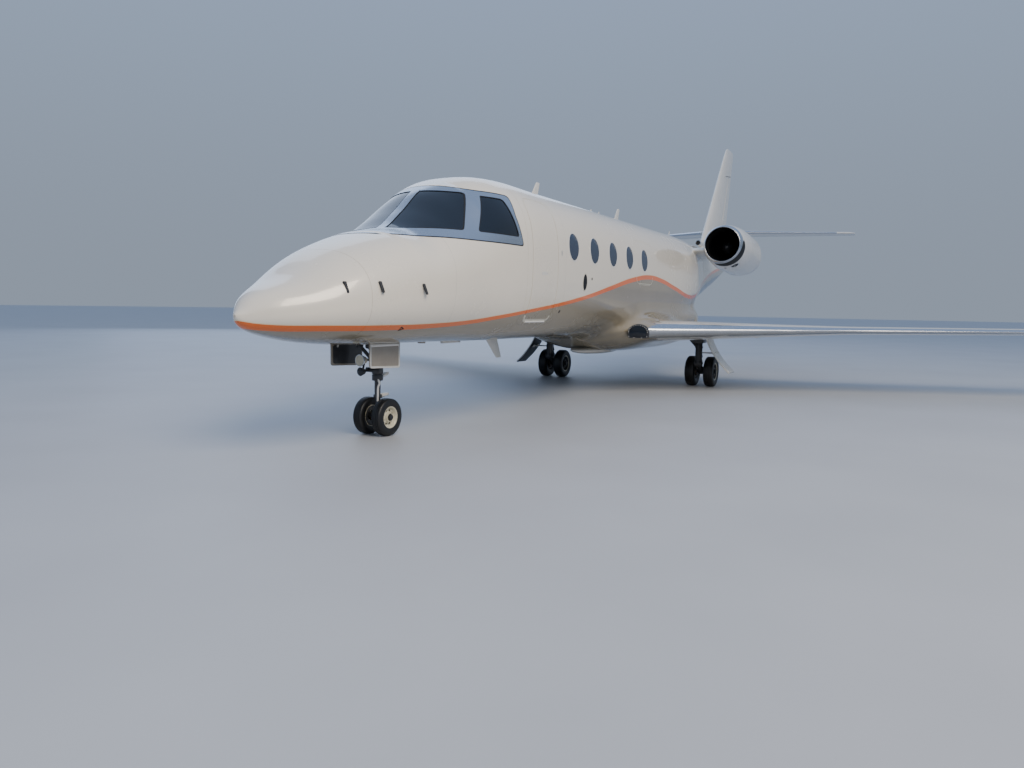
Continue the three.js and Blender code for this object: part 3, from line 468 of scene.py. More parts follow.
def curves_of(table, key):
    return {name: curve_through([(row[key], row[name]) for row in table]) for name in table[0] if name != key}


EASE = {"length": 0.13, "from": 0.12, "over": 0.6, "crease": (1.55, 2.7), "crease_share": 0.2}


def eased(name, curve):
    """A fuselage curve averaged over a short length to bend gradually, less so at the windscreen's foot"""
    at = LENGTH * np.linspace(0, 1, 1200) ** 2
    fade_in = np.clip((at - EASE["from"]) / EASE["over"], 0, 1)
    width = EASE["length"] * fade_in * np.clip((TAIL_END - at) * 2, 0, 1)
    if name == "top":
        creased = (at > EASE["crease"][0]) & (at < EASE["crease"][1])
        width = np.where(creased, width * EASE["crease_share"], width)
    shares = np.linspace(-2, 2, 21)
    weights = np.exp(-(shares**2) / 2)
    value = sum(weight * curve(at + share * width) for share, weight in zip(shares, weights)) / weights.sum()
    return curve_through(np.column_stack([at, value]))


HULL_AT = {name: eased(name, curve) for name, curve in curves_of(HULL, "station").items()}
FAIRING_AT = curves_of(FAIRING, "station")


def hull_ring(station, inset=0.0):
    """A superellipse about the widest height, with one exponent above it and another below"""
    count = bpy.context.scene.jet_surfaces.hull_points
    angle = np.arange(count) * math.tau / count
    across, up = np.cos(angle), np.sin(angle)
    half_width, reach, exponent, widest = hull_shape(station, up, inset)
    y = half_width * np.sign(across) * np.abs(across) ** (2 / exponent)
    z = widest + reach * np.sign(up) * np.abs(up) ** (2 / exponent)
    return [Vector(point) for point in zip(np.full(count, NOSE_X - station), y, z)]


def hull_shape(station, up, inset=0.0):
    """The fuselage's half width, reach above or below the widest height, exponent there and that height"""
    at = {name: curve(station) for name, curve in HULL_AT.items()}
    reach = np.where(up >= 0, at["top"] - at["widest"], at["widest"] - at["bottom"]) - inset
    exponent = np.where(up >= 0, at["round_above"], at["round_below"])
    return at["half_width"] - inset, reach, exponent, at["widest"]


def hull_side(station, z, inset=0.0):
    """How far out the fuselage's side is at a station and height"""
    up = z - HULL_AT["widest"](station)
    half_width, reach, exponent, _ = hull_shape(station, up, inset)
    return float(half_width * (1 - min(abs(up) / reach, 1) ** exponent) ** (1 / exponent))


def hull_level(points):
    """Below 1 inside the fuselage's skin and above 1 outside it"""
    station = np.maximum(NOSE_X - points[:, 0], 1e-4)
    up = points[:, 2] - HULL_AT["widest"](station)
    half_width, reach, exponent, _ = hull_shape(station, up)
    return (np.abs(points[:, 1]) / half_width) ** exponent + (np.abs(up) / reach) ** exponent


def hull_normals(points):
    step = 5e-4
    slopes = [hull_level(points + way) - hull_level(points - way) for way in step * np.eye(3)]
    normals = np.column_stack(slopes)
    return normals / np.maximum(np.linalg.norm(normals, axis=1, keepdims=True), 1e-9)


def lay_hull_normals(piece, band=0.012):
    """Gives the faces on the outer skin the normals of its smooth surface, so that cuts don't show"""
    mesh = piece.data
    points = np.empty(len(mesh.vertices) * 3)
    mesh.vertices.foreach_get("co", points)
    points = points.reshape(-1, 3)
    ideal = hull_normals(points)
    on_skin = np.abs(hull_level(points) - 1) < band
    normals = np.array([corner.vector for corner in mesh.corner_normals])
    for face in mesh.polygons:
        corners = list(face.vertices)
        if on_skin[corners].all() and np.dot(face.normal, ideal[corners[0]]) > 0.7:
            normals[list(face.loop_indices)] = ideal[corners]
    mesh.normals_split_custom_set(normals.tolist())
    return piece


def spaced(first, last, step):
    count = max(1, round(abs(last - first) / step))
    return [first + (last - first) * k / count for k in range(count + 1)]


def shell(name, inner, outer, thickness):
    """A part of the fuselage's wall, from the end of its hollow out to its rim and back along the skin"""
    rings = [hull_ring(station, thickness) for station in inner]
    rings += [hull_ring(station) for station in outer]
    return loft(name, rings)


def hull_solid(name, first, last, step=0.2, inset=0.0):
    return loft(name, [hull_ring(station, inset) for station in spaced(first, last, step)])


def rounded(outline, corners, steps=8):
    """An outline's points with its corners rounded by curves"""
    points = [Vector(point) for point in outline]
    if not isinstance(corners, tuple):
        corners = (corners,) * len(points)
    path = []
    for i, point in enumerate(points):
        to_last = (points[i - 1] - point).normalized() * corners[i]
        to_next = (points[(i + 1) % len(points)] - point).normalized() * corners[i]
        for k in range(steps + 1):
            t = k / steps
            path.append(point + to_last * (1 - t) ** 2 + to_next * t**2)
    return path


def box_outline(front, rear, bottom, top, corners, inset=0.0):
    outline = (
        (front + inset, bottom + inset), (front + inset, top - inset), (rear - inset, top - inset),
        (rear - inset, bottom + inset)
    )
    if not isinstance(corners, tuple):
        corners = (corners,) * 4
    return rounded(outline, tuple(max(corner - inset, 0.004) for corner in corners))


def oval(station, z, half_long, half_tall, count=48):
    angles = [math.tau * k / count for k in range(count)]
    return [Vector((station + half_long * math.cos(a), z + half_tall * math.sin(a))) for a in angles]


def shrunk(outline, gap):
    """The same outline moved inwards by a gap all round"""
    points = [Vector(point) for point in outline]
    turning = sum(points[i - 1].x * point.y - point.x * points[i - 1].y for i, point in enumerate(points))
    inwards = 1 if turning > 0 else -1
    moved = []
    for i, point in enumerate(points):
        before = (point - points[i - 1]).normalized()
        after = (points[(i + 1) % len(points)] - point).normalized()
        normals = [Vector((-way.y, way.x)) * inwards for way in (before, after)]
        middle = (normals[0] + normals[1]).normalized()
        moved.append(point + middle * gap / max(middle.dot(normals[0]), 0.3))
    return moved


def prism(name, outline, near, far):
    """An outline of stations and heights pushed through from one Y to another"""
    return loft(name, [[aft(point[0], y, point[1]) for point in outline] for y in (near, far)])


def side_prism(name, outline, side, near=0.3):
    return prism(name, outline, side * near, side * BEYOND)


def on_hull(outline, side, inset):
    """An outline of stations and heights laid on the fuselage's side"""
    return [aft(point[0], side * hull_side(point[0], point[1], inset), point[1]) for point in outline]


def band_on_hull(name, outline_at, section, side):
    """A closed band along an outline; its section gives offsets inwards and depths below the skin"""
    return loft(name, [on_hull(outline_at(offset), side, depth) for offset, depth in section], wrap=True)


def raised(width, proud, deep=0.003):
    """A flat band's section, from its edge inwards, a little proud of the skin"""
    return ((0, -proud), (width, -proud), (width, deep), (0, deep))


def trim_band(name, outline_at, section, side, finish="silicone_seal", body="airframe"):
    dress(band_on_hull(name, outline_at, section, side), finish, body)


def aerofoil(count):
    """A symmetrical section as shares of its chord, from the leading edge over the top and back below"""
    back = [(1 - math.cos(math.pi * i / count)) / 2 for i in range(count + 1)]

    def half(share):
        rise = 0.2969 * math.sqrt(share) - 0.126 * share - 0.3516 * share**2
        return 5 * (rise + 0.2843 * share**3 - 0.1015 * share**4)

    above = [(share, half(share)) for share in back]
    below = [(share, -half(share)) for share in reversed(back[1:])]
    return above + below


def foil_ring(lead, way, chord, thickness, drop=0.0, section=None):
    """A wing-like ring behind a leading-edge point, its thickness measured along a direction"""
    section = section or aerofoil(bpy.context.scene.jet_surfaces.foil_points)
    return [
        lead + Vector((-back * chord, 0, -back * chord * drop)) + way * (half * thickness * chord)
        for back, half in section
    ]


def rows_between(table, key, at_each, start=0, curved=False):
    """More rows between a table's own, in straight lines or along smooth curves"""
    keys = [row[key] for row in table]
    curve = {}
    for name in table[0]:
        values = [row[name] for row in table]
        if curved:
            curve[name] = curve_through(list(zip(range(len(table)), values)))
        else:
            curve[name] = lambda t, values=values: np.interp(t, range(len(values)), values)
    steps = []
    for i in range(start, len(table) - 1):
        count = max(1, round(abs(keys[i + 1] - keys[i]) / at_each))
        steps += [i + k / count for k in range(count)]
    return [{name: float(value(t)) for name, value in curve.items()} for t in [*steps, len(table) - 1]]


def wing_rows(start=0.0):
    """The wing's rows, or those outboard of a side offset with a row at it"""
    straight = rows_between(WING[: WINGLET_ROW + 1], "y", 0.35)
    bent = rows_between(WING[WINGLET_ROW:], "y", 0.014, curved=True)
    rows = straight + bent[1:]
    if start:
        offsets = [row["y"] for row in straight]
        first = {
            name: float(np.interp(start, offsets, [row[name] for row in straight])) for name in straight[0]
        }
        rows = [first] + [row for row in rows if row["y"] > start + 0.02]
    return rows


def wing_ring(row, section=None, grow=0.0):
    lean = math.radians(row["lean"])
    way = Vector((0, -math.sin(lean), math.cos(lean)))
    lead = aft(row["lead"] - grow, row["y"], row["z"])
    chord = row["chord"] + 2 * grow
    return foil_ring(lead, way, chord, row["thickness"] + 2 * grow / chord, WING_DROP, section)


def wing_middle(station, y):
    """The height of the wing's middle line at a station and side offset"""
    z, lead = (float(curves_of(WING[: WINGLET_ROW + 1], "y")[name](y)) for name in ("z", "lead"))
    return z - (station - lead) * WING_DROP


def hinged(parent, name, start, end, nose):
    """Cuts a control surface from its parent along a straight hinge, and gives it its round nose"""
    span = (end - start).length
    along = (end - start).normalized()
    back = Vector((-1, 0, 0))
    back = (back - along * back.dot(along)).normalized()
    up = along.cross(back)
    reach = 1.5

    def at(a, b, c):
        return start + along * a + back * b + up * c

    def piece_of_space(ends, ahead):
        rings = []
        for a, forward in zip(ends, ahead):
            corners = ((-forward, -reach), (reach, -reach), (reach, reach), (-forward, reach))
            rings.append([at(a, b, c) for b, c in corners])
        return loft("space", rings)

    surface = copied(parent, name)
    carve(surface, piece_of_space((0, span), (0, 0)), operation="INTERSECT")
    carve(surface, rod("nose", start, end, nose[0], nose[1], 40), operation="UNION")
    bay = piece_of_space((-MOVING_GAP, span + MOVING_GAP), [radius + MOVING_GAP for radius in nose])
    carve(parent, bay)
    return smooth(surface, 30)


# Finishes


def linear(hex_code):
    """An sRGB hex value as the linear colour that the shaders take"""
    parts = [int(hex_code[i : i + 2], 16) / 255 for i in (1, 3, 5)]
    return tuple(part / 12.92 if part <= 0.04045 else ((part + 0.055) / 1.055) ** 2.4 for part in parts)


def add_node(tree, kind, inputs=None, **settings):
    """Adds a node with its settings; each input is a value or another node's output"""
    made = tree.nodes.new(kind)
    for name, value in settings.items():
        setattr(made, name, value)
    for socket, value in (inputs or {}).items():
        if isinstance(value, bpy.types.NodeSocket):
            tree.links.new(value, made.inputs[socket])
        else:
            made.inputs[socket].default_value = value
    return made


def maths(tree, operation, *values):
    """What a maths node gives; each value is a number or another node's output"""
    return add_node(tree, "ShaderNodeMath", dict(enumerate(values)), operation=operation).outputs[0]


def mapped(tree, value, *bounds):
    """A value spread from the first two bounds to the last two"""
    return add_node(tree, "ShaderNodeMapRange", {0: value, **dict(enumerate(bounds, 1))}).outputs[0]


def blended_tone(tree, share, first, second):
    first, second = ((*shade, 1) if isinstance(shade, tuple) else shade for shade in (first, second))
    return add_node(tree, "ShaderNodeMix", {0: share, 6: first, 7: second}, data_type="RGBA").outputs[2]


def noise(tree, place, scale, detail, **inputs):
    inputs = {"Vector": place, "Scale": scale, "Detail": detail, **inputs}
    return add_node(tree, "ShaderNodeTexNoise", inputs).outputs["Fac"]


def object_place(tree):
    return add_node(tree, "ShaderNodeTexCoord").outputs["Object"]


def new_finish(name, **sockets):
    """A material, its node tree and its shader, with the values that are the same all over"""
    material = bpy.data.materials.new(name)
    material.use_nodes = True
    shader = material.node_tree.nodes["Principled BSDF"]
    for socket, value in sockets.items():
        shader.inputs[socket.replace("_", " ")].default_value = value
    return material.node_tree, shader


def finish_with(tree, shader, base, rough, height=None, distance=0.0, strength=0.0):
    """Leads the colour, the roughness and the relief to the shader"""
    tree.links.new(base, shader.inputs["Base Color"])
    tree.links.new(rough, shader.inputs["Roughness"])
    if height is not None:
        bump = add_node(
            tree, "ShaderNodeBump", {"Height": height, "Distance": distance, "Strength": strength}
        )
        tree.links.new(bump.outputs[0], shader.inputs["Normal"])


def mottled(name, light, dark, patch, grit, rough, relief=0.0, strength=0.3, **sockets):
    """A finish whose colour drifts over patches, its gloss and relief following a fine grit, in metres"""
    tree, shader = new_finish(name, **sockets)
    place = object_place(tree)
    drift = noise(tree, place, 1 / patch, 4.0)
    grain = noise(tree, place, 1 / grit, 3.0)
    base = blended_tone(tree, drift, linear(light), linear(dark))
    finish_with(
        tree, shader, base, mapped(tree, grain, 0.3, 0.7, *rough), grain if relief else None, relief, strength
    )


TALLEST = 4.0  # above every point of the stripe, as the curve node takes shares
STRIPE_SHARES = ((0.4, 3.6, 0.5, 0.4), (3.8, 6.8, 0.4, 0.68))  # between two stations, half widths as shares
GRIME = {"scale": 1.4, "upper": 0.93, "lower": 0.8, "groove": 0.3}


def livery_masks(tree, place, paint):
    """How far a point is above the stripe's middle, the stripe's half width, and the panels' grooves"""
    xyz = add_node(tree, "ShaderNodeSeparateXYZ", {0: place}).outputs
    station = maths(tree, "SUBTRACT", NOSE_X, xyz["X"])
    height = add_node(tree, "ShaderNodeFloatCurve", {"Value": maths(tree, "DIVIDE", station, LENGTH)})
    points = height.mapping.curves[0].points
    while len(points) < len(STRIPE):
        points.new(0.5, 0.5)
    for point, (at, z) in zip(points, STRIPE):
        point.location = (at / LENGTH, z / TALLEST)
    height.mapping.update()
    above = maths(tree, "SUBTRACT", xyz["Z"], maths(tree, "MULTIPLY", height.outputs[0], TALLEST))
    widths = [
        mapped(tree, station, first, last, paint.stripe_width * at_first, paint.stripe_width * at_last)
        for first, last, at_first, at_last in STRIPE_SHARES
    ]
    grooves = [maths(tree, "COMPARE", station, joint, SEAM) for joint in PANEL_JOINTS]
    groove = functools.reduce(lambda first, second: maths(tree, "MAXIMUM", first, second), grooves)
    return above, maths(tree, "MAXIMUM", *widths), groove


def polyurethane_livery(paint):
    """Sprayed polyurethane: a warm pearl above, taupe below and a stripe between, under one clear coat"""
    tree, shader = new_finish(
        "polyurethane_livery", Coat_Weight=0.8, Coat_Roughness=0.04, Metallic=0.05, Specular_IOR_Level=0.5
    )
    place = object_place(tree)
    above, half, groove = livery_masks(tree, place, paint)
    grime = noise(tree, place, GRIME["scale"], 5.0, Roughness=0.6)
    lower, upper = (
        blended_tone(tree, grime, tuple(colour), tuple(part * depth for part in colour))
        for colour, depth in ((paint.taupe, GRIME["lower"]), (paint.pearl, GRIME["upper"]))
    )
    base = blended_tone(tree, mapped(tree, above, -0.001, 0.001), lower, upper)
    edge_middle = maths(tree, "ADD", half, paint.edge_width / 2)
    on_edge = maths(tree, "COMPARE", above, edge_middle, paint.edge_width / 2)
    base = blended_tone(tree, on_edge, base, tuple(paint.stripe_edge))
    inside = maths(tree, "SUBTRACT", half, maths(tree, "ABSOLUTE", above))
    base = blended_tone(tree, mapped(tree, inside, -0.0008, 0.0008), base, tuple(paint.stripe))
    flake = noise(tree, place, 1 / 0.004, 2.0)
    base = blended_tone(tree, mapped(tree, flake, 0.55, 0.75, 0.0, 0.06), base, (1, 1, 1))
    soiled = maths(tree, "MULTIPLY", groove, GRIME["groove"])
    base = blended_tone(tree, soiled, base, (0.08, 0.08, 0.08))
    peel = maths(tree, "MULTIPLY", noise(tree, place, 1 / 0.02, 1.0), 0.02)
    relief = maths(tree, "SUBTRACT", peel, groove)
    finish_with(tree, shader, base, mapped(tree, grime, 0.3, 0.7, 0.2, 0.3), relief, 0.002, 0.5)


def polished_aluminium():
    """Bare aluminium polished along the span: bright, with fine streaks across the light"""
    tree, shader = new_finish("polished_aluminium", Metallic=1.0)
    along = add_node(tree, "ShaderNodeMapping", {"Vector": object_place(tree), "Scale": (300, 8, 300)})
    streaks = noise(tree, along.outputs[0], 1.0, 3.0)
    base = blended_tone(tree, streaks, linear("#d3d6da"), linear("#aeb3ba"))
    finish_with(tree, shader, base, mapped(tree, streaks, 0.3, 0.7, 0.14, 0.3))


def dyed_leather():
    """Upholstery leather, dyed tan: pebbled in cells about 3 mm across, with a soft sheen"""
    tree, shader = new_finish("dyed_leather", Sheen_Weight=0.15)
    place = object_place(tree)
    pebble = add_node(tree, "ShaderNodeTexVoronoi", {"Vector": place, "Scale": 1 / 0.003}, feature="F1")
    pebble = pebble.outputs["Distance"]
    base = blended_tone(tree, noise(tree, place, 9.0, 4.0), linear("#c6ae8e"), linear("#a88d6c"))
    finish_with(tree, shader, base, mapped(tree, pebble, 0, 1, 0.42, 0.62), pebble, 0.0006, 0.5)


# Finishes: name, two tones, patch and grit sizes, roughness range, relief, its strength and shader values
PLAIN_FINISHES = (
    # Cut-pile wool carpet: a warm grey with tufts about 4 mm apart
    ("wool_carpet", "#8a8072", "#6c6357", 0.05, 0.004, (0.85, 0.95), 0.003, 0.8, {"Sheen_Weight": 0.4}),
    # Two-pack enamel on legs and wells: pale grey, satin, a little dirty
    ("gear_enamel", "#c9c8c2", "#a9a8a2", 0.12, 0.004, (0.3, 0.5), 0.0006, 0.2, {"Coat_Weight": 0.3}),
    # Dark grey enamel on the nose leg and its links: satin, oily
    ("dark_enamel", "#3a3b3d", "#26272a", 0.08, 0.003, (0.3, 0.5), 0.0004, 0.2, {"Coat_Weight": 0.3}),
    # Cream enamel on cast wheels: smooth, with brake dust in its patches
    ("wheel_enamel", "#e2dcc4", "#b9b29a", 0.05, 0.002, (0.3, 0.45), 0.0003, 0.2, {"Coat_Weight": 0.4}),
    # Hard-chromed steel on the sliding struts and pins: a dark mirror
    ("chromed_steel", "#dfe3e8", "#c9ced4", 0.03, 0.001, (0.05, 0.12), 0, 0, {"Metallic": 1.0}),
    # Cadmium-plated steel on fittings and fasteners: dull silver
    ("plated_steel", "#a7a9ac", "#7f8286", 0.02, 0.0015, (0.3, 0.5), 0.0002, 0.3, {"Metallic": 1.0}),
    # Forged titanium of blades and vanes: grey, smooth, slightly warm
    ("forged_titanium", "#8d9096", "#6a6d73", 0.05, 0.001, (0.2, 0.34), 0, 0, {"Metallic": 1.0}),
    # Heat-stained nickel alloy of the nozzle and core: brown and grey patches
    ("heated_alloy", "#8a8076", "#4c453f", 0.09, 0.002, (0.3, 0.5), 0.0003, 0.3, {"Metallic": 1.0}),
    # Satin black for the painted shade inside ducts, wells and openings: it swallows light
    ("shade_black", "#0d0e10", "#050506", 0.1, 0.003, (0.5, 0.7), 0.0003, 0.2, {}),
    # Neoprene and sealant in gaps: matt black with dust
    ("neoprene", "#17181a", "#0c0c0d", 0.03, 0.002, (0.55, 0.75), 0.0003, 0.4, {}),
    # Pale silicone weather seal round the door and hatch
    ("silicone_seal", "#d9d6c8", "#bdb8a6", 0.04, 0.002, (0.45, 0.6), 0.0002, 0.3, {}),
    # Vulcanised tyre rubber: black, damp and slightly glossy, fine moulded texture
    ("tyre_rubber", "#191a1c", "#101112", 0.04, 0.0012, (0.35, 0.55), 0.0004, 0.5, {}),
    # Moulded plastic of panels and trim: dark grey, pebbled
    ("moulded_plastic", "#2b2d31", "#202226", 0.06, 0.001, (0.45, 0.6), 0.0004, 0.5, {}),
    # Blank glass of the displays: almost black, polished
    ("display_glass", "#07090d", "#0b0e14", 0.2, 0.01, (0.06, 0.1), 0, 0, {"Coat_Weight": 0.6}),
    # Cream wall panels of the cabin: thin leather cloth
    ("cabin_lining", "#cfc6b6", "#beb4a2", 0.15, 0.002, (0.6, 0.75), 0.0004, 0.4, {}),
    # Walnut veneer under lacquer on the ledges
    ("walnut_veneer", "#5a3a24", "#3d2616", 0.03, 0.004, (0.15, 0.25), 0, 0, {"Coat_Weight": 0.8}),
    # White enamel on doors, aerials and pads: glossy
    ("white_enamel", "#e6e4de", "#d6d3ca", 0.2, 0.004, (0.2, 0.32), 0.0002, 0.2, {"Coat_Weight": 0.6}),
    # Taupe enamel on the doors of the nose gear, as on the belly
    ("taupe_enamel", "#a39a8b", "#8c8375", 0.15, 0.004, (0.25, 0.38), 0.0002, 0.2, {"Coat_Weight": 0.6}),
)
# Clear and tinted panes: name, tint, roughness and the share of light that is let through
PANES = (
    # Laminated glass with a gold-tin heating film: dark blue-black from outside
    ("heated_windshield", "#16202e", 0.03, 0.7),
    # Stretched acrylic of the cabin windows: smoky blue-grey
    ("stretched_acrylic", "#33415a", 0.05, 0.45),
    # Clear glass of lamps, a little grey
    ("lamp_glass", "#dfe6ec", 0.03, 0.9),
    # Dyed glass of the port and starboard lights
    ("red_lens", "#c01818", 0.06, 0.4),
    ("green_lens", "#0f9c4a", 0.06, 0.4),
)


class JET_OT_finishes(bpy.types.Operator):
    """Mix the paints, metals, glass, rubber and leather"""

    bl_idname = "jet.finishes"
    bl_label = "Finishes"

    def execute(self, context):
        polyurethane_livery(context.scene.jet_paint)
        polished_aluminium()
        dyed_leather()
        for *values, sockets in PLAIN_FINISHES:
            mottled(*values, **sockets)
        for name, tint, rough, through in PANES:
            rough = (rough, rough * 1.5)
            mottled(name, tint, tint, 0.3, 0.05, rough, Transmission_Weight=through, Coat_Weight=0.3)
        return {"FINISHED"}


# What a user would change


def tone(name, description, shade):
    return FloatVectorProperty(name=name, description=description, subtype="COLOR", default=linear(shade))


class JetPaint(bpy.types.PropertyGroup):
    """Colours and sizes of the paint"""

    pearl: tone("Upper colour", "Pearl above the stripe", "#f1e8d6")
    taupe: tone("Lower colour", "Taupe below the stripe", "#9b9079")
    stripe: tone("Stripe colour", "Orange of the stripe", "#ea6a04")
    stripe_edge: tone("Edge colour", "Pale line along the stripe's top", "#f0dcae")
    stripe_width: FloatProperty(
        name="Stripe width", description="Across the stripe at the nose", unit="LENGTH", default=0.052
    )
    edge_width: FloatProperty(
        name="Edge width", description="Across the pale line", unit="LENGTH", default=0.008
    )


class JetSurfaces(bpy.types.PropertyGroup):
    """How finely the curved skins are divided"""

    hull_points: IntProperty(
        name="Fuselage points", description="Points round a fuselage section", default=96
    )
    foil_points: IntProperty(
        name="Aerofoil points", description="Points along each side of a wing section", default=30
    )
    turn_steps: IntProperty(name="Turning steps", description="Steps round an engine pod", default=96)


class JetStage(bpy.types.PropertyGroup):
    """The floor and the light"""

    floor_size: FloatProperty(name="Floor", description="Across the floor", unit="LENGTH", default=400.0)
    floor_tone: tone("Floor colour", "Pale floor", "#b9bcc0")
    horizon_tone: tone("Horizon colour", "Soft light from the sides", "#a0adbf")
    sky_tone: tone("Sky colour", "Soft light from above", "#b4cdf6")
    sky_strength: FloatProperty(
        name="Sky strength", description="Strength of the light from all round", default=0.8
    )
    key_power: FloatProperty(name="Key light", description="Power of the main light", default=5200.0)


# Fuselage

TIP_STATIONS = [
    0, 0.002, 0.005, 0.009, 0.014, 0.021, 0.03, 0.042, 0.058, 0.078, 0.1, 0.13, 0.165, 0.205, 0.25
]
BULKHEADS = {"front": 1.02, "rear": 8.92}
INSIDE_TAIL_END = 16.35


def pane_outline(outline, gap):
    """A flight-deck pane's outline moved inwards by a gap, then rounded"""
    return rounded(shrunk(outline, gap), tuple(max(corner - gap, 0.006) for corner in WINDOW_CORNERS))


def windshield_prism(side, gap=0.0):
    near = side * (WINDSHIELD_HALF_POST + gap)
    return prism("pane_space", pane_outline(WINDSHIELD, gap), near, side * BEYOND)


def side_window_prism(side, gap=0.0):
    return side_prism("pane_space", pane_outline(SIDE_WINDOW, gap), side)


def cabin_window_oval(index, offset=0.0):
    """A cabin window's outline, moved inwards by an offset"""
    station = CABIN_WINDOW["first"] + index * CABIN_WINDOW["pitch"]
    long, tall = CABIN_WINDOW["half_long"] - offset, CABIN_WINDOW["half_tall"] - offset
    return oval(station, CABIN_WINDOW["z"], long, tall)


def door_outline(inset=0.0):
    return box_outline(DOOR["front"], DOOR["rear"], DOOR["bottom"], DOOR["top"], DOOR_CORNERS, inset)


def hatch_outline(inset=0.0):
    return box_outline(*EXIT_HATCH.values(), 0.11, inset)


def bay_liner():
    """The walls and roof of the nose wheels' bay"""
    wall = BAY["wall"]
    half = BAY["half_width"] + wall
    liner = slab(
        "nose_bay_liner", aft(BAY["rear"] + wall, -half, 0.975),
        aft(BAY["front"] - wall, half, BAY["top"] + wall), 0
    )
    inside = slab(
        "bay_space", aft(BAY["rear"], -BAY["half_width"], 0.5),
        aft(BAY["front"], BAY["half_width"], BAY["top"]), 0
    )
    dress(carve(liner, inside), "gear_enamel")


def hull_seams():
    """Sealant lines round the exit hatches and small service panels, laid a hair proud of the skin"""
    for word, side in SIDES:
        trim_band(f"exit_hatch_seam_{word}", hatch_outline, raised(0.005, 0.0006), side)
        for index, box in enumerate(SERVICE_PANELS):
            name = f"service_panel_seam_{word}_{index + 1}"
            band = raised(0.004, 0.0005, 0.002)
            trim_band(name, lambda inset, box=box: box_outline(*box, 0.02, inset), band, side)


class JET_OT_fuselage(bpy.types.Operator):
    """Loft the nose, flight deck, cabin and tail cone, and cut their windows, door and wheel bay"""

    bl_idname = "jet.fuselage"
    bl_label = "Fuselage"

    def execute(self, context):
        nose = TIP_STATIONS + spaced(0.3, RADOME_END - SEAM, 0.05)
        nose = shell("nose_skin", [s for s in nose if s > 0.07], nose[::-1], 0.02)
        deck = spaced(RADOME_END + SEAM, COCKPIT_END - SEAM, 0.05)
        deck = shell("flight_deck_skin", [s for s in deck if s > BULKHEADS["front"]], deck[::-1], CABIN_WALL)
        cabin = spaced(COCKPIT_END + SEAM, CABIN_END - SEAM, 0.08)
        cabin = shell("cabin_skin", [s for s in cabin if s < BULKHEADS["rear"]][::-1], cabin, CABIN_WALL)
        tail = spaced(CABIN_END + SEAM, TAIL_END, 0.1)
        tail = shell("tail_cone_skin", [s for s in tail if s < INSIDE_TAIL_END][::-1], tail, 0.014)
        half = BAY["half_width"]
        bay = slab("bay_space", aft(BAY["front"], half, 0.5), aft(BAY["rear"], -half, BAY["top"]), 0)
        carve(deck, bay)
        for _, side in SIDES:
            carve(deck, windshield_prism(side), side_window_prism(side))
            for index in range(CABIN_WINDOW["count"]):
                carve(cabin, side_prism("window_space", cabin_window_oval(index), side, 0.5))
        carve(cabin, side_prism("door_space", door_outline(), PORT), hinge_barrel("hinge_space", 0.0018))
        for piece, node in (
            (nose, "radome"), (deck, "cockpit_section"), (cabin, "cabin_section"), (tail, "tail_cone")
        ):
            smooth(piece, 30)
            dress(piece, "polyurethane_livery", stands_for=[node])
            lay_hull_normals(piece)
            line_inside(piece)
        bay_liner()
        hull_seams()
        return {"FINISHED"}


SERVICE_PANELS = ((10.0, 10.62, 1.72, 2.02), (12.55, 12.95, 2.05, 2.3))


def line_inside(piece):
    """Gives the faces that look inwards the cabin's lining"""
    piece.data.materials.append(bpy.data.materials["cabin_lining"])
    points = np.array([vertex.co for vertex in piece.data.vertices])
    inner = hull_level(points) < 0.985
    for face in piece.data.polygons:
        if inner[list(face.vertices)].all():
            face.material_index = 1


def hinge_barrel(name, grow=0.0):
    end = DOOR_HINGE["from_end"]
    ends = (DOOR["front"] + end, DOOR["rear"] - end)
    line = [aft(station, DOOR_HINGE["y"], DOOR["bottom"]) for station in ends]
    return rod(name, *line, DOOR_HINGE["barrel"] + grow, sides=24)


def flush_fittings():
    """The door's flush handle, the pale strip along its foot and the thin one round its edge"""
    trim_band(
        "door_handle", lambda inset: box_outline(*DOOR_HANDLE, inset), raised(0.017, 0.001), PORT,
        "white_enamel", "entry_door"
    )
    foot = ((0.0105, 0.004), (0.0105, -0.0014), (0.031, -0.0014), (0.034, 0.004))
    strip = band_on_hull("door_foot_strip", door_outline, foot, PORT)
    low, high = aft(DOOR["rear"] + 0.1, 0.3, 1.1), aft(DOOR["front"] - 0.1, BEYOND, DOOR_STRIP_TOP)
    carve(strip, slab("space", low, high, 0), operation="INTERSECT")
    dress(strip, "silicone_seal", "entry_door")
    edge = ((0.001, 0.003), (0.001, -0.0006), (0.0102, -0.0006), (0.0102, 0.003))
    trim_band("door_edge_strip", door_outline, edge, PORT, body="entry_door")


# Front and rear stations, lower and upper heights and the corners' radius
DOOR_HANDLE = (3.69, 3.84, 1.757, 1.793, 0.016)
HATCH_SILL = (EXIT_HATCH["front"] + 0.12, EXIT_HATCH["rear"] - 0.12, 1.757, 1.777, 0.009)


def door_seals():
    """A pale weather seal shows in the gap round the door, widest at the sill"""
    band = ((-0.003, 0.003), (0.0034, 0.003), (0.0036, 0.02), (-0.003, 0.02))
    trim_band("door_frame_seal", door_outline, band, PORT)
    sill = ((0, -0.001), (0.004, -0.0018), (0.004, 0.004), (0, 0.004))
    trim_band("hatch_sill_seal", lambda inset: box_outline(*HATCH_SILL, inset), sill, PORT)


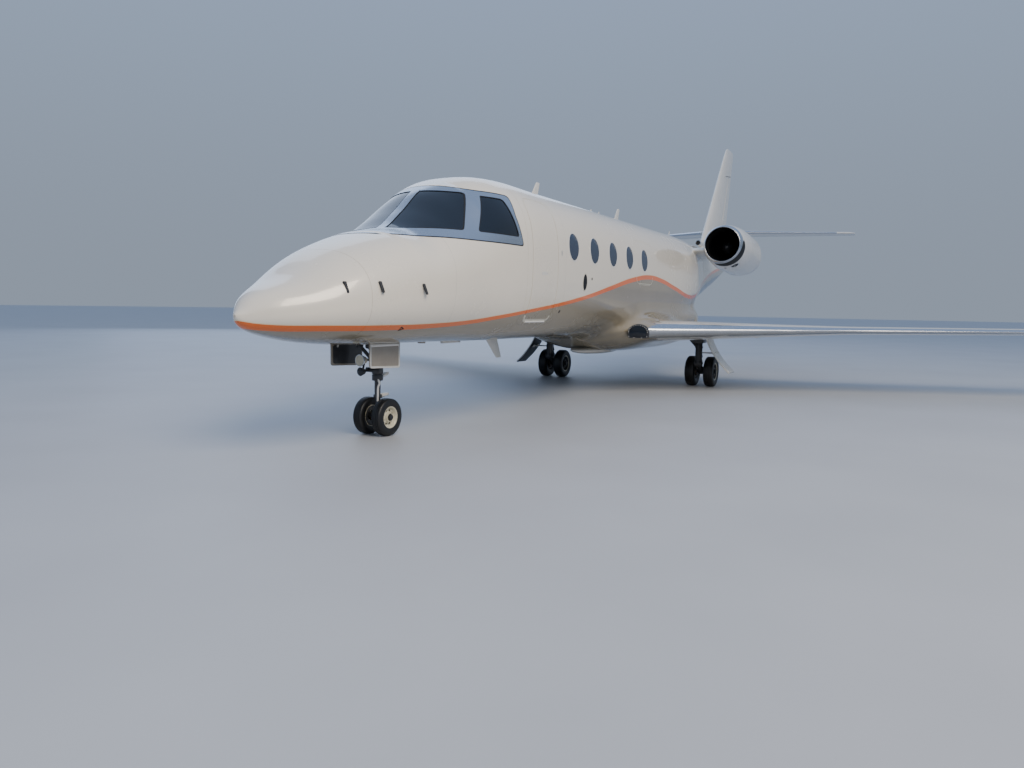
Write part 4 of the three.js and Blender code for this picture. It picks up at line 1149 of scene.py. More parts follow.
def door_steps():
    """Treads on the door's inner side, which lie level when it is let down"""
    front, rear = DOOR["front"] + 0.1, DOOR["rear"] - 0.1
    pieces = []
    for z in STAIR["treads"]:
        y = hull_side((front + rear) / 2, z, CABIN_WALL)
        tread = slab("tread", aft(rear, y - 0.17, z - 0.012), aft(front, y + 0.004, z + 0.012), 0.004)
        for line in range(STAIR["ribs"]):
            near = y - 0.15 + STAIR["rib_pitch"] * line
            low = aft(rear - 0.02, near, z - 0.016)
            pieces.append(slab("tread_rib", low, aft(front + 0.02, near + 0.008, z + 0.016), 0.002, 1))
        pieces.append(tread)
    for station in (front - 0.012, rear - 0.012):
        near = [aft(station, hull_side(station, z, CABIN_WALL) - out, z) for z, out in STAIR["stringer"]]
        far = [point - Vector((0.024, 0, 0)) for point in near]
        pieces.append(bevelled(loft("stringer", [near, far]), 0.003, 2))
    dress(joined("entry_stairs", *pieces), "gear_enamel", "entry_door")


# The treads' heights, the ribs on each, and the stringers' heights with how far in they stand
STAIR = {
    "treads": (1.46, 1.74, 2.02, 2.3), "ribs": 5, "rib_pitch": 0.028,
    "stringer": ((1.3, 0.0), (1.38, 0.1), (2.36, 0.13), (2.46, 0.0))
}


class JET_OT_entry_door(bpy.types.Operator):
    """Make the entry door with its hinge, steps and flush handle, and the seal round its frame"""

    bl_idname = "jet.entry_door"
    bl_label = "Entry door"

    def execute(self, context):
        stations = spaced(DOOR["front"] - 0.1, DOOR["rear"] + 0.1, 0.04)
        rings = [hull_ring(station, CABIN_WALL) for station in stations]
        rings += [hull_ring(station) for station in stations[::-1]]
        door = loft("entry_door_skin", rings, wrap=True)
        carve(door, side_prism("door_space", door_outline(MOVING_GAP), PORT), operation="INTERSECT")
        hinge_z, hinge_y = DOOR["bottom"], DOOR_HINGE["y"]
        reach = math.hypot(0.778 - hinge_y, DOOR["top"] - MOVING_GAP - hinge_z)
        ends = [aft(station, hinge_y, hinge_z) for station in (DOOR["front"] - 0.1, DOOR["rear"] + 0.1)]
        carve(door, rod("door_sweep", *ends, reach, sides=256), operation="INTERSECT")
        smooth(door, 30)
        dress(door, "polyurethane_livery", "entry_door", ["entry_door"])
        lay_hull_normals(door)
        line_inside(door)
        dress(hinge_barrel("entry_door_hinge"), "white_enamel", "entry_door")
        flush_fittings()
        door_seals()
        door_steps()
        return {"FINISHED"}


def thin_wall(name, outside, inside):
    stations = spaced(1.6, 3.4, 0.04)
    rings = [hull_ring(station, inside) for station in stations]
    rings += [hull_ring(station, outside) for station in stations[::-1]]
    return loft(name, rings, wrap=True)


def window_surround():
    """The bare metal round the flight-deck windows, edged by a dark line of sealant"""
    for name, finish, proud, outline, inner in (
        ("windshield_surround", "polished_aluminium", 0.0016, WINDOW_SURROUND, None),
        ("surround_sealant", "neoprene", 0.001, shrunk(WINDOW_SURROUND, -0.012), WINDOW_SURROUND),
    ):
        stations = spaced(1.42, 3.34, 0.04)
        rings = [hull_ring(station, 0.006) for station in stations]
        rings += [hull_ring(station, -proud) for station in stations[::-1]]
        piece = loft(name, rings, wrap=True)
        carve(piece, prism("surround_space", rounded(outline, 0.05), -BEYOND, BEYOND), operation="INTERSECT")
        if inner:
            carve(piece, prism("surround_space", rounded(inner, 0.05), -BEYOND, BEYOND))
        else:
            for _, side in SIDES:
                carve(piece, windshield_prism(side, 0.002), side_window_prism(side, 0.002))
        dress(smooth(piece, 30), finish)
        lay_hull_normals(piece, 0.02)


def cabin_windows(word, side):
    """Five oval panes to a side, each in a thin pale ring, with the cabin's reveal behind it"""
    panes, rings, reveals = [], [], []
    for index in range(CABIN_WINDOW["count"]):
        lens = ((0.12, 0.002), (0.06, 0.002), (0.006, 0.002), (0.0012, 0.0055), (0.006, 0.009), (0.12, 0.009))
        outline = [on_hull(cabin_window_oval(index, offset), side, depth) for offset, depth in lens]
        panes.append(loft("pane", outline))
        for store, section in ((rings, WINDOW_RING), (reveals, WINDOW_REVEAL)):
            store.append(
                band_on_hull("band", lambda offset, i=index: cabin_window_oval(i, offset), section, side)
            )
    glazing = [f"cabin_glazing_{word}"]
    dress(joined(f"cabin_panes_{word}", *panes), "stretched_acrylic", stands_for=glazing)
    dress(joined(f"cabin_window_rings_{word}", *rings), "white_enamel")
    dress(joined(f"cabin_window_reveals_{word}", *reveals), "cabin_lining")


class JET_OT_windows(bpy.types.Operator):
    """Glaze the flight deck and the cabin, with seals, posts and polished frames"""

    bl_idname = "jet.windows"
    bl_label = "Windows"

    def execute(self, context):
        pane = thin_wall("pane_wall", 0.005, 0.017)
        seal = thin_wall("seal_wall", 0.0005, 0.03)
        for word, side in SIDES:
            for stem, space in (("windshield", windshield_prism), ("side_window", side_window_prism)):
                glass = copied(pane, f"{stem}_pane_{word}")
                carve(glass, space(side, 0.008), operation="INTERSECT")
                dress(smooth(glass, 30), "heated_windshield", stands_for=[f"{stem}_{word}"])
                rubber = copied(seal, f"{stem}_seal_{word}")
                carve(rubber, space(side, 0.0008), operation="INTERSECT")
                carve(rubber, space(side, 0.012))
                dress(smooth(rubber, 30), "neoprene")
        for piece in (pane, seal):
            bpy.data.objects.remove(piece)
        window_surround()
        for word, side in SIDES:
            cabin_windows(word, side)
        return {"FINISHED"}


WINDOW_RING = (
    (-0.018, 0.003), (-0.017, -0.0016), (-0.002, -0.0018), (0.0006, 0.0005), (0.0006, 0.0045), (-0.01, 0.0045)
)
WINDOW_REVEAL = (
    (0.0006, 0.0105), (0.0136, 0.0105), (0.03, 0.086), (-0.02, 0.086), (-0.02, 0.0825), (0.0006, 0.079)
)


# Wing and its fairing

FAIRING_CENTRE = ((10.4, 1.03), (12.1, 1.6))  # station and height that the fairing is measured from
FLARE = {"reach": 1.3, "blend": 0.16}
ROOT_STATIONS = (6.5, 10.45)
# The sheet dips under the skin where it stands off it less than this
FAIRING_EDGE = {"stand_off": 0.012, "sunk": 0.005}
KEEL = {"at": aft(7.74, 0, 0.672), "half_sizes": (0.86, 0.3, 0.08)}


def fairing_level(points):
    """A rough distance outside the fairing, the fuselage or the wing's root, whichever is nearest, blended"""
    station = NOSE_X - points[:, 0]
    y, z = np.abs(points[:, 1]), points[:, 2]
    half = FAIRING_AT["half_width"](station)
    drop = np.maximum(FAIRING_MIDDLE - FAIRING_AT["bottom"](station), 0.03)
    up = z - FAIRING_MIDDLE
    reach = np.where(up >= 0, FAIRING_TOP - FAIRING_MIDDLE, drop)
    level = (y / half) ** FAIRING_ROUND + (np.abs(up) / reach) ** FAIRING_ROUND
    belly = (level ** (1 / FAIRING_ROUND) - 1) * np.minimum(half, reach)
    hull = (hull_level(points) ** (1 / 2.8) - 1) * HULL_AT["half_width"](station)
    straight = WING[: WINGLET_ROW + 1]
    spans = [row["y"] for row in straight]
    at = {name: np.interp(y, spans, [row[name] for row in straight]) for name in WING[0]}
    back = (station - at["lead"]) / at["chord"]
    share = np.clip(back, 0, 1)
    rise = 0.2969 * np.sqrt(share) - 0.126 * share - 0.3516 * share**2 + 0.2843 * share**3 - 0.1015 * share**4
    off = np.abs(z - at["z"] + (station - at["lead"]) * WING_DROP) - 5 * rise * at["thickness"] * at["chord"]
    beyond = np.maximum(-back, back - 1).clip(0) * at["chord"] * 0.83
    wing = np.where(beyond > 0, np.hypot(np.maximum(off, 0), beyond), off)
    wing = np.maximum(wing, y - FLARE["reach"])

    def blended(first, second, over):
        mix = np.maximum(over - np.abs(first - second), 0) / over
        return np.minimum(first, second) - mix**2 * over / 4

    return blended(blended(belly, hull, 0.1), wing, FLARE["blend"]), hull


def fairing_evened(stations, angles, out, skin):
    """Averages how far the fairing stands off the fuselage, away from the wing roots"""
    off_root = np.maximum(ROOT_STATIONS[0] - stations, stations - ROOT_STATIONS[1])[:, None] / 0.2
    below = (50 - np.abs(np.degrees(angles) + 90))[None, :] / 10
    weight = np.clip(np.maximum(off_root, below), 0, 1)
    extra = out - skin
    for _ in range(30):
        wide = np.pad(extra, 1, mode="edge")
        around = wide[:-2, 1:-1] + wide[2:, 1:-1] + wide[1:-1, :-2] + wide[1:-1, 2:]
        extra = extra + weight * (around / 4 - extra) * 0.5
    return skin + extra


def fairing_places(stations, angles, reach):
    station = np.broadcast_to(stations[:, None], reach.shape)
    y = reach * np.cos(angles)[None, :]
    z = np.interp(station, *zip(*FAIRING_CENTRE)) + reach * np.sin(angles)[None, :]
    return np.column_stack([NOSE_X - station.ravel(), y.ravel(), z.ravel()])


class JET_OT_fairing(bpy.types.Operator):
    """Blend the belly fairing into the fuselage and the wing roots"""

    bl_idname = "jet.fairing"
    bl_label = "Belly fairing"

    def execute(self, context):
        stations = np.array(spaced(5.85, 12.05, 0.05))
        angles = np.radians(np.linspace(32, -212, 150))
        out = np.zeros((len(stations), len(angles)))
        skin = np.zeros_like(out)
        for store, which in ((out, 0), (skin, 1)):
            near = np.full(out.shape, 0.02)
            far = np.full(out.shape, 1.6)
            for _ in range(26):
                middle = (near + far) / 2
                inside = fairing_level(fairing_places(stations, angles, middle))[which].reshape(out.shape) < 0
                near = np.where(inside, middle, near)
                far = np.where(inside, far, middle)
            store[:] = near
        out = fairing_evened(stations, angles, out, skin)
        lies_flat = np.clip(1 - (out - skin) / FAIRING_EDGE["stand_off"], 0, 1) ** 2
        outer = fairing_places(stations, angles, out - FAIRING_EDGE["sunk"] * lies_flat)
        inner = fairing_places(stations, angles, np.minimum(skin, out) - 0.012)
        outer, inner = (points.reshape(*out.shape, 3) for points in (outer, inner))
        rings = [[Vector(point) for point in (*front, *back[::-1])] for front, back in zip(outer, inner)]
        piece = loft("belly_fairing_skin", rings)
        dress(smooth(piece, 40), "polyurethane_livery", stands_for=["belly_fairing"])
        dress(ball("keel_bulge", KEEL["at"], KEEL["half_sizes"], 64, 80), "white_enamel")
        return {"FINISHED"}


def front_section(share):
    """The front of an aerofoil up to a share of its chord, from below round the nose to above"""
    front = [point for point in aerofoil(bpy.context.scene.jet_surfaces.foil_points) if point[0] <= share]
    return [point for point in front if point[1] < 0] + [point for point in front if point[1] >= 0]


def leading_edge():
    """Bare metal wrapped round the front of the wing, a millimetre proud of the paint"""
    line = front_section(WING_EDGE["share"])
    rings = []
    for row in wing_rows(WING_EDGE["from"]):
        if row["y"] <= WING_EDGE["to"]:
            inner = wing_ring(row, line, -WING_EDGE["sunk"])
            rings.append(wing_ring(row, line, WING_EDGE["proud"]) + inner[::-1])
    return loft("wing_leading_edge", rings)


def jack_pad():
    pieces = []
    for name, reach, *radii in JACK_PAD["parts"]:
        foot = JACK_PAD["at"] - Vector((0, 0, reach))
        pieces.append(rod(name, JACK_PAD["at"], foot, *radii, edge=0.004))
    return joined("wing_jack_pad", *pieces)


def wing_wicks():
    """Thin rods at the trailing edge that lead static away"""
    rods = []
    curves = curves_of(WING[: WINGLET_ROW + 1], "y").items()
    for y in WICKS["offsets"]:
        row = {name: float(curve(y)) for name, curve in curves}
        start = aft(row["lead"] + row["chord"] - 0.01, y, row["z"] - row["chord"] * WING_DROP)
        rods.append(rod("wick", start, start + WICKS["reach"], *WICKS["radii"], sides=8))
    return joined("static_wicks", *rods)


def root_lamps():
    """A round-topped landing lamp in each wing root, its dark glass edged by small screws"""
    width, height = ROOT_LAMP["half_width"], ROOT_LAMP["height"]
    outline = [Vector((width * math.cos(a), height * math.sin(a))) for a in np.linspace(0, math.pi, 25)]
    outline += [Vector((width * x, ROOT_LAMP["below"] * z)) for x, z in ROOT_LAMP["foot"]]
    facing = Vector((1, 0.25, 0)).normalized()
    across = Vector((-facing.y, facing.x, 0))

    def spread(point, scale):
        return ROOT_LAMP["at"] + across * point.x * scale + Vector((0, 0, point.y * scale))

    pieces = []
    for stem, finish, slot, wrap, rows in ROOT_LAMP_PIECES:
        rings = [[spread(point, scale) - facing * depth for point in outline] for scale, depth in rows]
        pieces.append((loft(stem, rings, wrap=wrap), stem, finish, slot))
    screws = []
    for point in outline[::2]:
        at = spread(point, 0.97)
        screws.append(rod("screw", at - facing * 0.004, at + facing * 0.003, 0.0055, sides=12))
    pieces.append((joined("root_lamp_screws", *screws), "root_lamp_screws", "white_enamel", "trim"))
    for piece in pieces:
        dress_both(*piece)


def tip_lamps():
    """Coloured navigation lenses in the wing's tips, just inboard of the winglets"""
    for word, side, finish in (("left", PORT, "red_lens"), ("right", STARBOARD, "green_lens")):
        row = wing_rows()[len(rows_between(WING[: WINGLET_ROW + 1], "y", 0.35)) - 1]
        middle = aft(row["lead"] - 0.001, side * (row["y"] - 0.06), row["z"])
        dress(ball(f"tip_lamp_{word}", middle, LAMP_HALF_SIZES["tip"]), finish)


class JET_OT_wings(bpy.types.Operator):
    """Loft the wings with their winglets, flaps and ailerons, polished leading edges and lamps"""

    bl_idname = "jet.wings"
    bl_label = "Wings"

    def execute(self, context):
        wing = loft("wing_skin", [wing_ring(row) for row in wing_rows(WING_SHOWN_FROM)])
        surfaces = []
        for stem, surface in (("flap", FLAP), ("aileron", AILERON)):
            ends = [aft(station, y, wing_middle(station, y)) for station, y in surface["ends"]]
            surfaces.append((stem, hinged(wing, f"{stem}_skin", *ends, surface["nose"])))
        dress_both(smooth(wing, 30), "wing_skin", "white_enamel", "wing", "wing")
        for stem, surface in surfaces:
            dress_both(surface, f"{stem}_skin", "white_enamel", "wing", stem, stem)
        dress_both(leading_edge(), "wing_leading_edge", "polished_aluminium", "wing")
        dress_both(jack_pad(), "wing_jack_pad", "white_enamel", "wing")
        dress_both(wing_wicks(), "static_wicks", "moulded_plastic", "trim")
        root_lamps()
        tip_lamps()
        return {"FINISHED"}


WING_SHOWN_FROM = 1.21  # inboard of it the fairing's flare is the wing's skin
WING_EDGE = {"share": 0.075, "from": 1.13, "to": 8.1, "proud": 0.0012, "sunk": 0.004}
JACK_PAD = {"at": aft(9.17, 2.43, 0.985), "parts": (("pad", 0.083, 0.038), ("pad_flange", 0.04, 0.06, 0.05))}
WICKS = {"offsets": (6.3, 6.9, 7.5, 7.95), "reach": Vector((-0.13, 0, 0.004)), "radii": (0.003, 0.0012)}
LAMP_HALF_SIZES = {"tip": (0.045, 0.085, 0.024), "tail": (0.06, 0.035, 0.04)}
ROOT_LAMP = {"at": aft(6.79, 1.09, 1.016), "half_width": 0.15, "height": 0.112, "below": 0.09}
# The corners of its foot, as shares of its half width and of its height below the middle
ROOT_LAMP["foot"] = (
    (-1, -0.55), (-0.96, -0.8), (-0.84, -1), (-0.4, -1), (0, -1), (0.4, -1), (0.84, -1), (0.96, -0.8),
    (1, -0.55)
)
# Pieces of a root lamp: name, finish, slot, whether it is a closed band, then each ring's scale and depth
ROOT_LAMP_PIECES = (
    (
        "root_lamp_rim", "moulded_plastic", "trim", True,
        ((1.1, 0.14), (1.08, 0.02), (1.04, 0), (0.9, 0), (0.89, 0.06), (0.9, 0.14))
    ),
    (
        "root_lamp_glass", "heated_windshield", "glass", False,
        ((0.9, 0.012), (0.9, 0.004), (0.6, -0.002), (0.2, -0.004))
    ),
    (
        "root_lamp_bowl", "chromed_steel", "trim", False,
        ((0.88, 0.03), (0.6, 0.075), (0.2, 0.09), (0.2, 0.1), (0.7, 0.09), (0.89, 0.04))
    ),
)


# Tail


def tailplane_edge():
    line = front_section(TAIL_EDGE["share"])
    up = Vector((0, 0, 1))
    rings = []
    for row in rows_between(TAILPLANE, "y", 0.3):
        if TAIL_EDGE["from"] < row["y"] < TAIL_EDGE["to"]:
            lead = aft(row["lead"], row["y"], TAILPLANE_Z)
            outer, inner = (
                foil_ring(lead + Vector((ahead, 0, 0)), up, row["chord"], row["thickness"] * share, 0, line)
                for ahead, share in TAIL_EDGE["faces"]
            )
            rings.append(outer + inner[::-1])
    return loft("tailplane_edge", rings)


def tail_scoop():
    """The round ram-air inlet at the foot of the fin's leading edge"""
    place = Matrix.Translation(SCOOP["at"]) @ Matrix.Rotation(math.radians(-4), 4, "Y")
    r, length = SCOOP["radius"], SCOOP["length"]
    skin = (
        (0.02, r * 0.8), (0, r * 0.86), (0.006, r * 0.95), (0.05, r), (length * 0.5, r * 0.98),
        (length, r * 0.3), (length, r * 0.2), (length * 0.5, r * 0.7)
    )
    dress(turned("ram_air_scoop", skin, place, 48), "white_enamel")
    lip = (
        (0.018, r * 0.79), (-0.002, r * 0.86), (0.004, r * 0.965), (0.03, r * 1.005), (0.03, r * 0.97),
        (0.008, r * 0.92), (0.018, r * 0.82)
    )
    dress(turned("ram_air_lip", lip, place, 48), "polished_aluminium")
    # The black cone in the throat is painted shade inside the scoop
    throat = ((0.03, 0), (0.03, r * 0.8), (0.06, r * 0.8), (0.3, 0))
    dress(turned("ram_air_throat", throat, place, 48), "shade_black")


def fin_and_rudder():
    across = Vector((0, 1, 0))
    rows = rows_between(FIN, "z", 0.25)
    rings = [foil_ring(aft(r["lead"], 0, r["z"]), across, r["chord"], r["thickness"]) for r in rows]
    fin = loft("fin_skin", rings)
    ends = [aft(station, 0, z) for station, z in RUDDER["ends"]]
    rudder = hinged(fin, "rudder_skin", *ends, RUDDER["nose"])
    dress(smooth(fin, 30), "white_enamel", stands_for=["fin"])
    dress(rudder, "white_enamel", "rudder", ["rudder"])


def tailplane_and_elevators():
    up = Vector((0, 0, 1))
    half_rows = rows_between(TAILPLANE, "y", 0.3)
    rows = [{**r, "y": -r["y"]} for r in half_rows[:0:-1]] + half_rows
    rings = [foil_ring(aft(r["lead"], r["y"], TAILPLANE_Z), up, r["chord"], r["thickness"]) for r in rows]
    plane = loft("tailplane_skin", rings)
    for word, side in SIDES:
        ends = [aft(station, side * y, TAILPLANE_Z) for station, y in ELEVATOR["ends"]]
        elevator = hinged(plane, f"elevator_skin_{word}", *ends, ELEVATOR["nose"])
        dress(elevator, "white_enamel", f"elevator_{word}", [f"elevator_{word}"])
    dress(smooth(plane, 30), "white_enamel", stands_for=["tailplane"])


class JET_OT_tail(bpy.types.Operator):
    """Loft the fin, rudder, tailplane and elevators, with the antennas, ram-air scoop and tail lamp"""

    bl_idname = "jet.tail"
    bl_label = "Tail"

    def execute(self, context):
        fin_and_rudder()
        tailplane_and_elevators()
        dress_both(tailplane_edge(), "tailplane_edge", "polished_aluminium", "composite")
        bar = rod("fin_antenna", *FIN_ROD, sides=16, edge=0.002)
        dress_both(bar, "fin_antenna", "moulded_plastic", "trim")
        tail_scoop()
        dress(ball("tail_lamp", TAIL_LAMP, LAMP_HALF_SIZES["tail"]), "lamp_glass")
        return {"FINISHED"}


# The bare edge: its share of the chord, its ends, and how far ahead and how thick its two faces are
TAIL_EDGE = {"share": 0.06, "from": 0.28, "to": 3.15, "faces": ((0.001, 1.025), (-0.004, 0.9))}
TAIL_LAMP = aft(16.93, 0, 2.68)
SCOOP = {"at": aft(14.02, 0, 3.03), "radius": 0.068, "length": 0.6}
FIN_ROD = (aft(16.3, 0.02, 4.985), aft(16.42, 0.16, 4.975), 0.008)  # its ends and its radius


# Engines


def pod_place(side):
    turn = Matrix.Rotation(math.radians(side * POD["toe"]), 4, "Z")
    turn = turn @ Matrix.Rotation(math.radians(-POD["pitch"]), 4, "Y")
    return Matrix.Translation(aft(POD["station"], side * POD["y"], POD["z"])) @ turn


POD_SKIN = curve_through(POD_LIP[-3:-1] + POD_OUTSIDE)
DUCT_AT = curve_through(DUCT)


def radii(curve, first, last, step=0.05, grow=0.0):
    return [(back, float(curve(back)) + grow) for back in spaced(first, last, step)]


def engine_pod(word, place, steps):
    """One pod's cowl, its bright lip, its duct in black as painted shade, and the seams and openings in its
    skin
    """
    side = PORT if word == "left" else STARBOARD
    outside = radii(POD_SKIN, LIP_BACK, POD_LENGTH)
    inside = radii(DUCT_AT, DUCT[-1][0], LIP_BACK, grow=0.004)
    cowl = turned(f"nacelle_cowl_{word}", outside + NOZZLE_INSIDE + inside, place, steps)
    dress(cowl, "white_enamel", stands_for=[f"nacelle_{word}"])
    front = [Vector((point[0], point[1], 0)) for point in POD_LIP[:-1]]
    front.append(Vector((LIP_BACK - 0.001, float(POD_SKIN(LIP_BACK)), 0)))
    front = [(point.x, point.y) for point in smooth_path(front, 6)]
    lip = turned(f"inlet_lip_{word}", front + LIP_INSIDE, place, steps)
    dress(lip, "polished_aluminium")
    # The duct's inside is drawn black: painted shade deep in the inlet
    lining = radii(DUCT_AT, DUCT[0][0] + 0.001, 1.388)
    lining += [(back, radius + 0.003) for back, radius in lining[::-1]]
    dress(turned(f"inlet_duct_{word}", lining, place, steps), "shade_black")
    seams = []
    half = SEAM * 1.2
    for back in COWL_SEAMS:
        skin = float(POD_SKIN(back))
        corners = ((-half, -0.004), (-half, 0.0005), (half, 0.0005), (half, -0.004))
        seams.append(turned("seam", [(back + along, skin + out) for along, out in corners], place, steps))
    dress(joined(f"cowl_seams_{word}", *seams), "silicone_seal")
    pod_dark_crescent(word, place, side)
    pod_openings(word, place, side)


def pod_dark_crescent(word, place, side):
    """The dark crescent in the pod's skin, behind the lip"""
    strips = []
    start, end = CRESCENT["from"], CRESCENT["to"]
    for step in range(CRESCENT["steps"] + 1):
        share = step / CRESCENT["steps"]
        half = CRESCENT["half"] * math.sin(math.pi * share) ** 0.45 + 0.002
        ends = (CRESCENT["back"] - half, CRESCENT["back"] + half)
        strips.append(pod_strip(place, side, start + (end - start) * share, *ends))
    dress(loft(f"inlet_dark_crescent_{word}", strips), "shade_black")


def pod_openings(word, place, side):
    for stem, spot, grow, proud, finish in POD_OPENINGS:
        rings = [pod_spot(place, side, spot, share, grow, proud) for share in (0.04, 0.5, 1.0)]
        rings += [pod_spot(place, side, spot, share, grow, -0.004) for share in (1.0, 0.04)]
        dress(loft(f"{stem}_{word}", rings), finish)


def pod_point(place, side, back, below, proud):
    """A place on the pod's skin, its angle measured down from the outboard side in degrees"""
    radius = float(POD_SKIN(back)) + proud
    turn = math.radians(below)
    return place @ Vector((-back, side * radius * math.cos(turn), -radius * math.sin(turn)))


def pod_strip(place, side, below, first, last):
    backs = spaced(first, last, (last - first) / 4)
    above = [pod_point(place, side, back, below, 0.0025) for back in backs]
    return above + [pod_point(place, side, back, below, -0.004) for back in backs[::-1]]


def pod_spot(place, side, spot, share, grow, proud):
    back, below, half_back, half_round = spot
    ring = []
    for k in range(28):
        turn = math.tau * k / 28
        at = back + (half_back + grow) * share * math.cos(turn)
        arc = math.degrees((half_round + grow) * share * math.sin(turn) / float(POD_SKIN(back)))
        ring.append(pod_point(place, side, at, below + arc, proud))
    return ring


def engine_core(word, place, steps):
    """The core's case, its vane ring and the tail cone inside the nozzle"""
    case = [
        (0.81, 0), (0.81, 0.126), (0.85, 0.2), (1.4, 0.236), (2.4, 0.235), (2.95, 0.18), (2.94, 0.17),
        (2.4, 0.16), (2.4, 0)
    ]
    case = turned(f"engine_core_{word}", case, place, steps)
    cone = turned(
        "tail_cone",
        [(2.3, 0), (2.3, 0.13), (2.95, 0.128), (3.05, 0.1), (3.14, 0.05), (3.19, 0)],
        place,
        steps,
    )
    wall = turned("vane_ring", [(1.4, 0.23), (1.4, 0.3977), (1.49, 0.3977), (1.49, 0.23)], place, steps)
    core = joined(f"engine_core_{word}", case, cone, wall)
    dress(smooth(core), "heated_alloy", stands_for=[f"engine_{word}"])
    vanes = []
    for index in range(28):
        turn = Matrix.Rotation(math.tau * index / 28, 4, "X")
        vane = slab("vane", (-1.4, -0.003, 0.225), (-1.26, 0.003, 0.386), 0.001, 1)
        vane.data.transform(place @ turn)
        vanes.append(vane)
    dress(joined(f"guide_vanes_{word}", *vanes), "forged_titanium")


def engine_rotor(word, place):
    """Twisted blades round a spinner, clear of the duct by the same gap as the frame's fan"""
    back, hub, count = FAN["back"], FAN["hub"], FAN["blades"]
    nose = [
        (back - 0.22, 0), (back - 0.217, 0.018), (back - 0.205, 0.037), (back - 0.15, 0.078),
        (back - 0.06, hub)
    ]
    tail = [(back + 0.06, hub + 0.005), (back + 0.06, 0.05), (0.808, 0.05), (0.808, 0)]
    spinner = [(point.x, point.y) for point in smooth_path([Vector((*point, 0)) for point in nose], 5)]
    spinner = turned("spinner", spinner + tail, place, 64)
    blades = []
    for index in range(count):
        blade = loft("blade", [blade_ring(share / 8) for share in range(9)])
        blade.data.transform(place @ Matrix.Rotation(math.tau * index / count, 4, "X"))
        blades.append(blade)
    body = f"fan_{word}"
    dress(smooth(joined(f"fan_blades_{word}", *blades), 40), "forged_titanium", body, [body])
    dress(spinner, "dark_enamel", body, [body])


def blade_ring(share):
    radius = FAN["hub"] - 0.006 + (FAN["radius"] - FAN["hub"] + 0.005) * share
    chord = 0.075 + 0.04 * math.sin(math.pi * share * 0.7)
    turn = math.radians(FAN["root_turn"] + (FAN["tip_turn"] - FAN["root_turn"]) * share)
    thick = 0.1 - 0.06 * share
    ring = []
    for along, up in aerofoil(8):
        bow = 0.08 * math.sin(math.pi * along)
        forward, side = (0.5 - along) * chord, (up * thick + bow) * chord
        x = forward * math.cos(turn) - side * math.sin(turn)
        round_by = (forward * math.sin(turn) + side * math.cos(turn)) / radius
        ring.append(Vector((x - FAN["back"], radius * math.sin(round_by), radius * math.cos(round_by))))
    return ring


def engine_pylon(word, side, place):
    up = Vector((0, 0, 1))
    rings = []
    for y, lead, chord in (
        (0.4, PYLON["lead"] - 0.06, PYLON["chord"] + 0.16), (1.25, PYLON["lead"], PYLON["chord"])
    ):
        rings.append(foil_ring(aft(lead, side * y, PYLON["z"]), up, chord, PYLON["thickness"]))
    piece = loft(f"pylon_skin_{word}", rings)
    filled = [(0.15, 0)] + radii(POD_SKIN, 0.15, 2.9, grow=-0.003) + [(2.9, 0)]
    carve(piece, hull_solid("space", 9.5, 14.5, 0.1, 0.004), turned("space", filled, place, 64))
    dress(smooth(piece, 30), "white_enamel", stands_for=[f"pylon_{word}"])


class JET_OT_engines(bpy.types.Operator):
    """Turn the engine pods with their lips, ducts, fans, cores and nozzles, and loft the pylons"""

    bl_idname = "jet.engines"
    bl_label = "Engines"

    def execute(self, context):
        steps = context.scene.jet_surfaces.turn_steps
        for word, side in SIDES:
            place = pod_place(side)
            engine_pod(word, place, steps)
            engine_core(word, place, steps)
            engine_rotor(word, place)
            engine_pylon(word, side, place)
        return {"FINISHED"}


COWL_SEAMS = (0.98, 1.86, 2.44)
# The inside of the nozzle and of the lip: stations behind the pod's front, with their radii
NOZZLE_INSIDE = [(POD_LENGTH, 0.291), (2.8, 0.335), (2.5, 0.372), (1.5, 0.399)]
LIP_INSIDE = [(0.115, 0.384), (0.06, 0.36), (0.03, 0.343), (0.06, 0.33), (0.105, 0.322)]
CRESCENT = {"steps": 48, "from": -12, "to": 112, "back": 0.15, "half": 0.105}
COWL_PORT = (0.42, 63, 0.09, 0.072)
COWL_HOLE = (0.42, 89, 0.035, 0.022)
COWL_PIN = (0.43, 64, 0.024, 0.014)
# Openings in the cowl: name, place, how much wider, how far proud, finish; their black patches are painted
# shade inside them
POD_OPENINGS = (
    ("cowl_port_rim", COWL_PORT, 0.012, 0.0012, "polished_aluminium"),
    ("cowl_port", COWL_PORT, 0.0, 0.0018, "shade_black"),
    ("cowl_hole", COWL_HOLE, 0.0, 0.0012, "shade_black"),
    ("cowl_port_pin", COWL_PIN, 0.0, 0.004, "white_enamel"),
)


# Landing gear


def axle_bar(name, station, z, from_y, to_y, radius, edge=0.003, sides=40):
    return rod(name, aft(station, from_y, z), aft(station, to_y, z), radius, sides=sides, edge=edge)


def tyre_profile(size, grooves):
    """A tyre's section as offset and radius, from its inner bead over the tread to the outer bead"""
    half, full, rim = size["width"] / 2, size["radius"], size["rim"]
    wall = full - rim
    side = [
        (0.76, -0.02), (0.9, 0.06), (0.985, 0.3), (1.0, 0.48), (0.975, 0.66), (0.9, 0.82), (0.8, 0.915),
        (0.66, 0.97)
    ]
    side = [(share * half, rim + wall * up) for share, up in side]
    tread = []
    depth = wall * 0.045
    for middle in grooves:
        at = middle * half
        sag = wall * 0.03 * (abs(middle) - min(abs(groove) for groove in grooves)) / 0.5
        width = half * 0.035
        for offset, down in ((-width * 1.3, 0), (-width, depth), (width, depth), (width * 1.3, 0)):
            tread.append((at + offset, full - sag - down))
    return [(-at, radius) for at, radius in side] + tread + side[::-1]


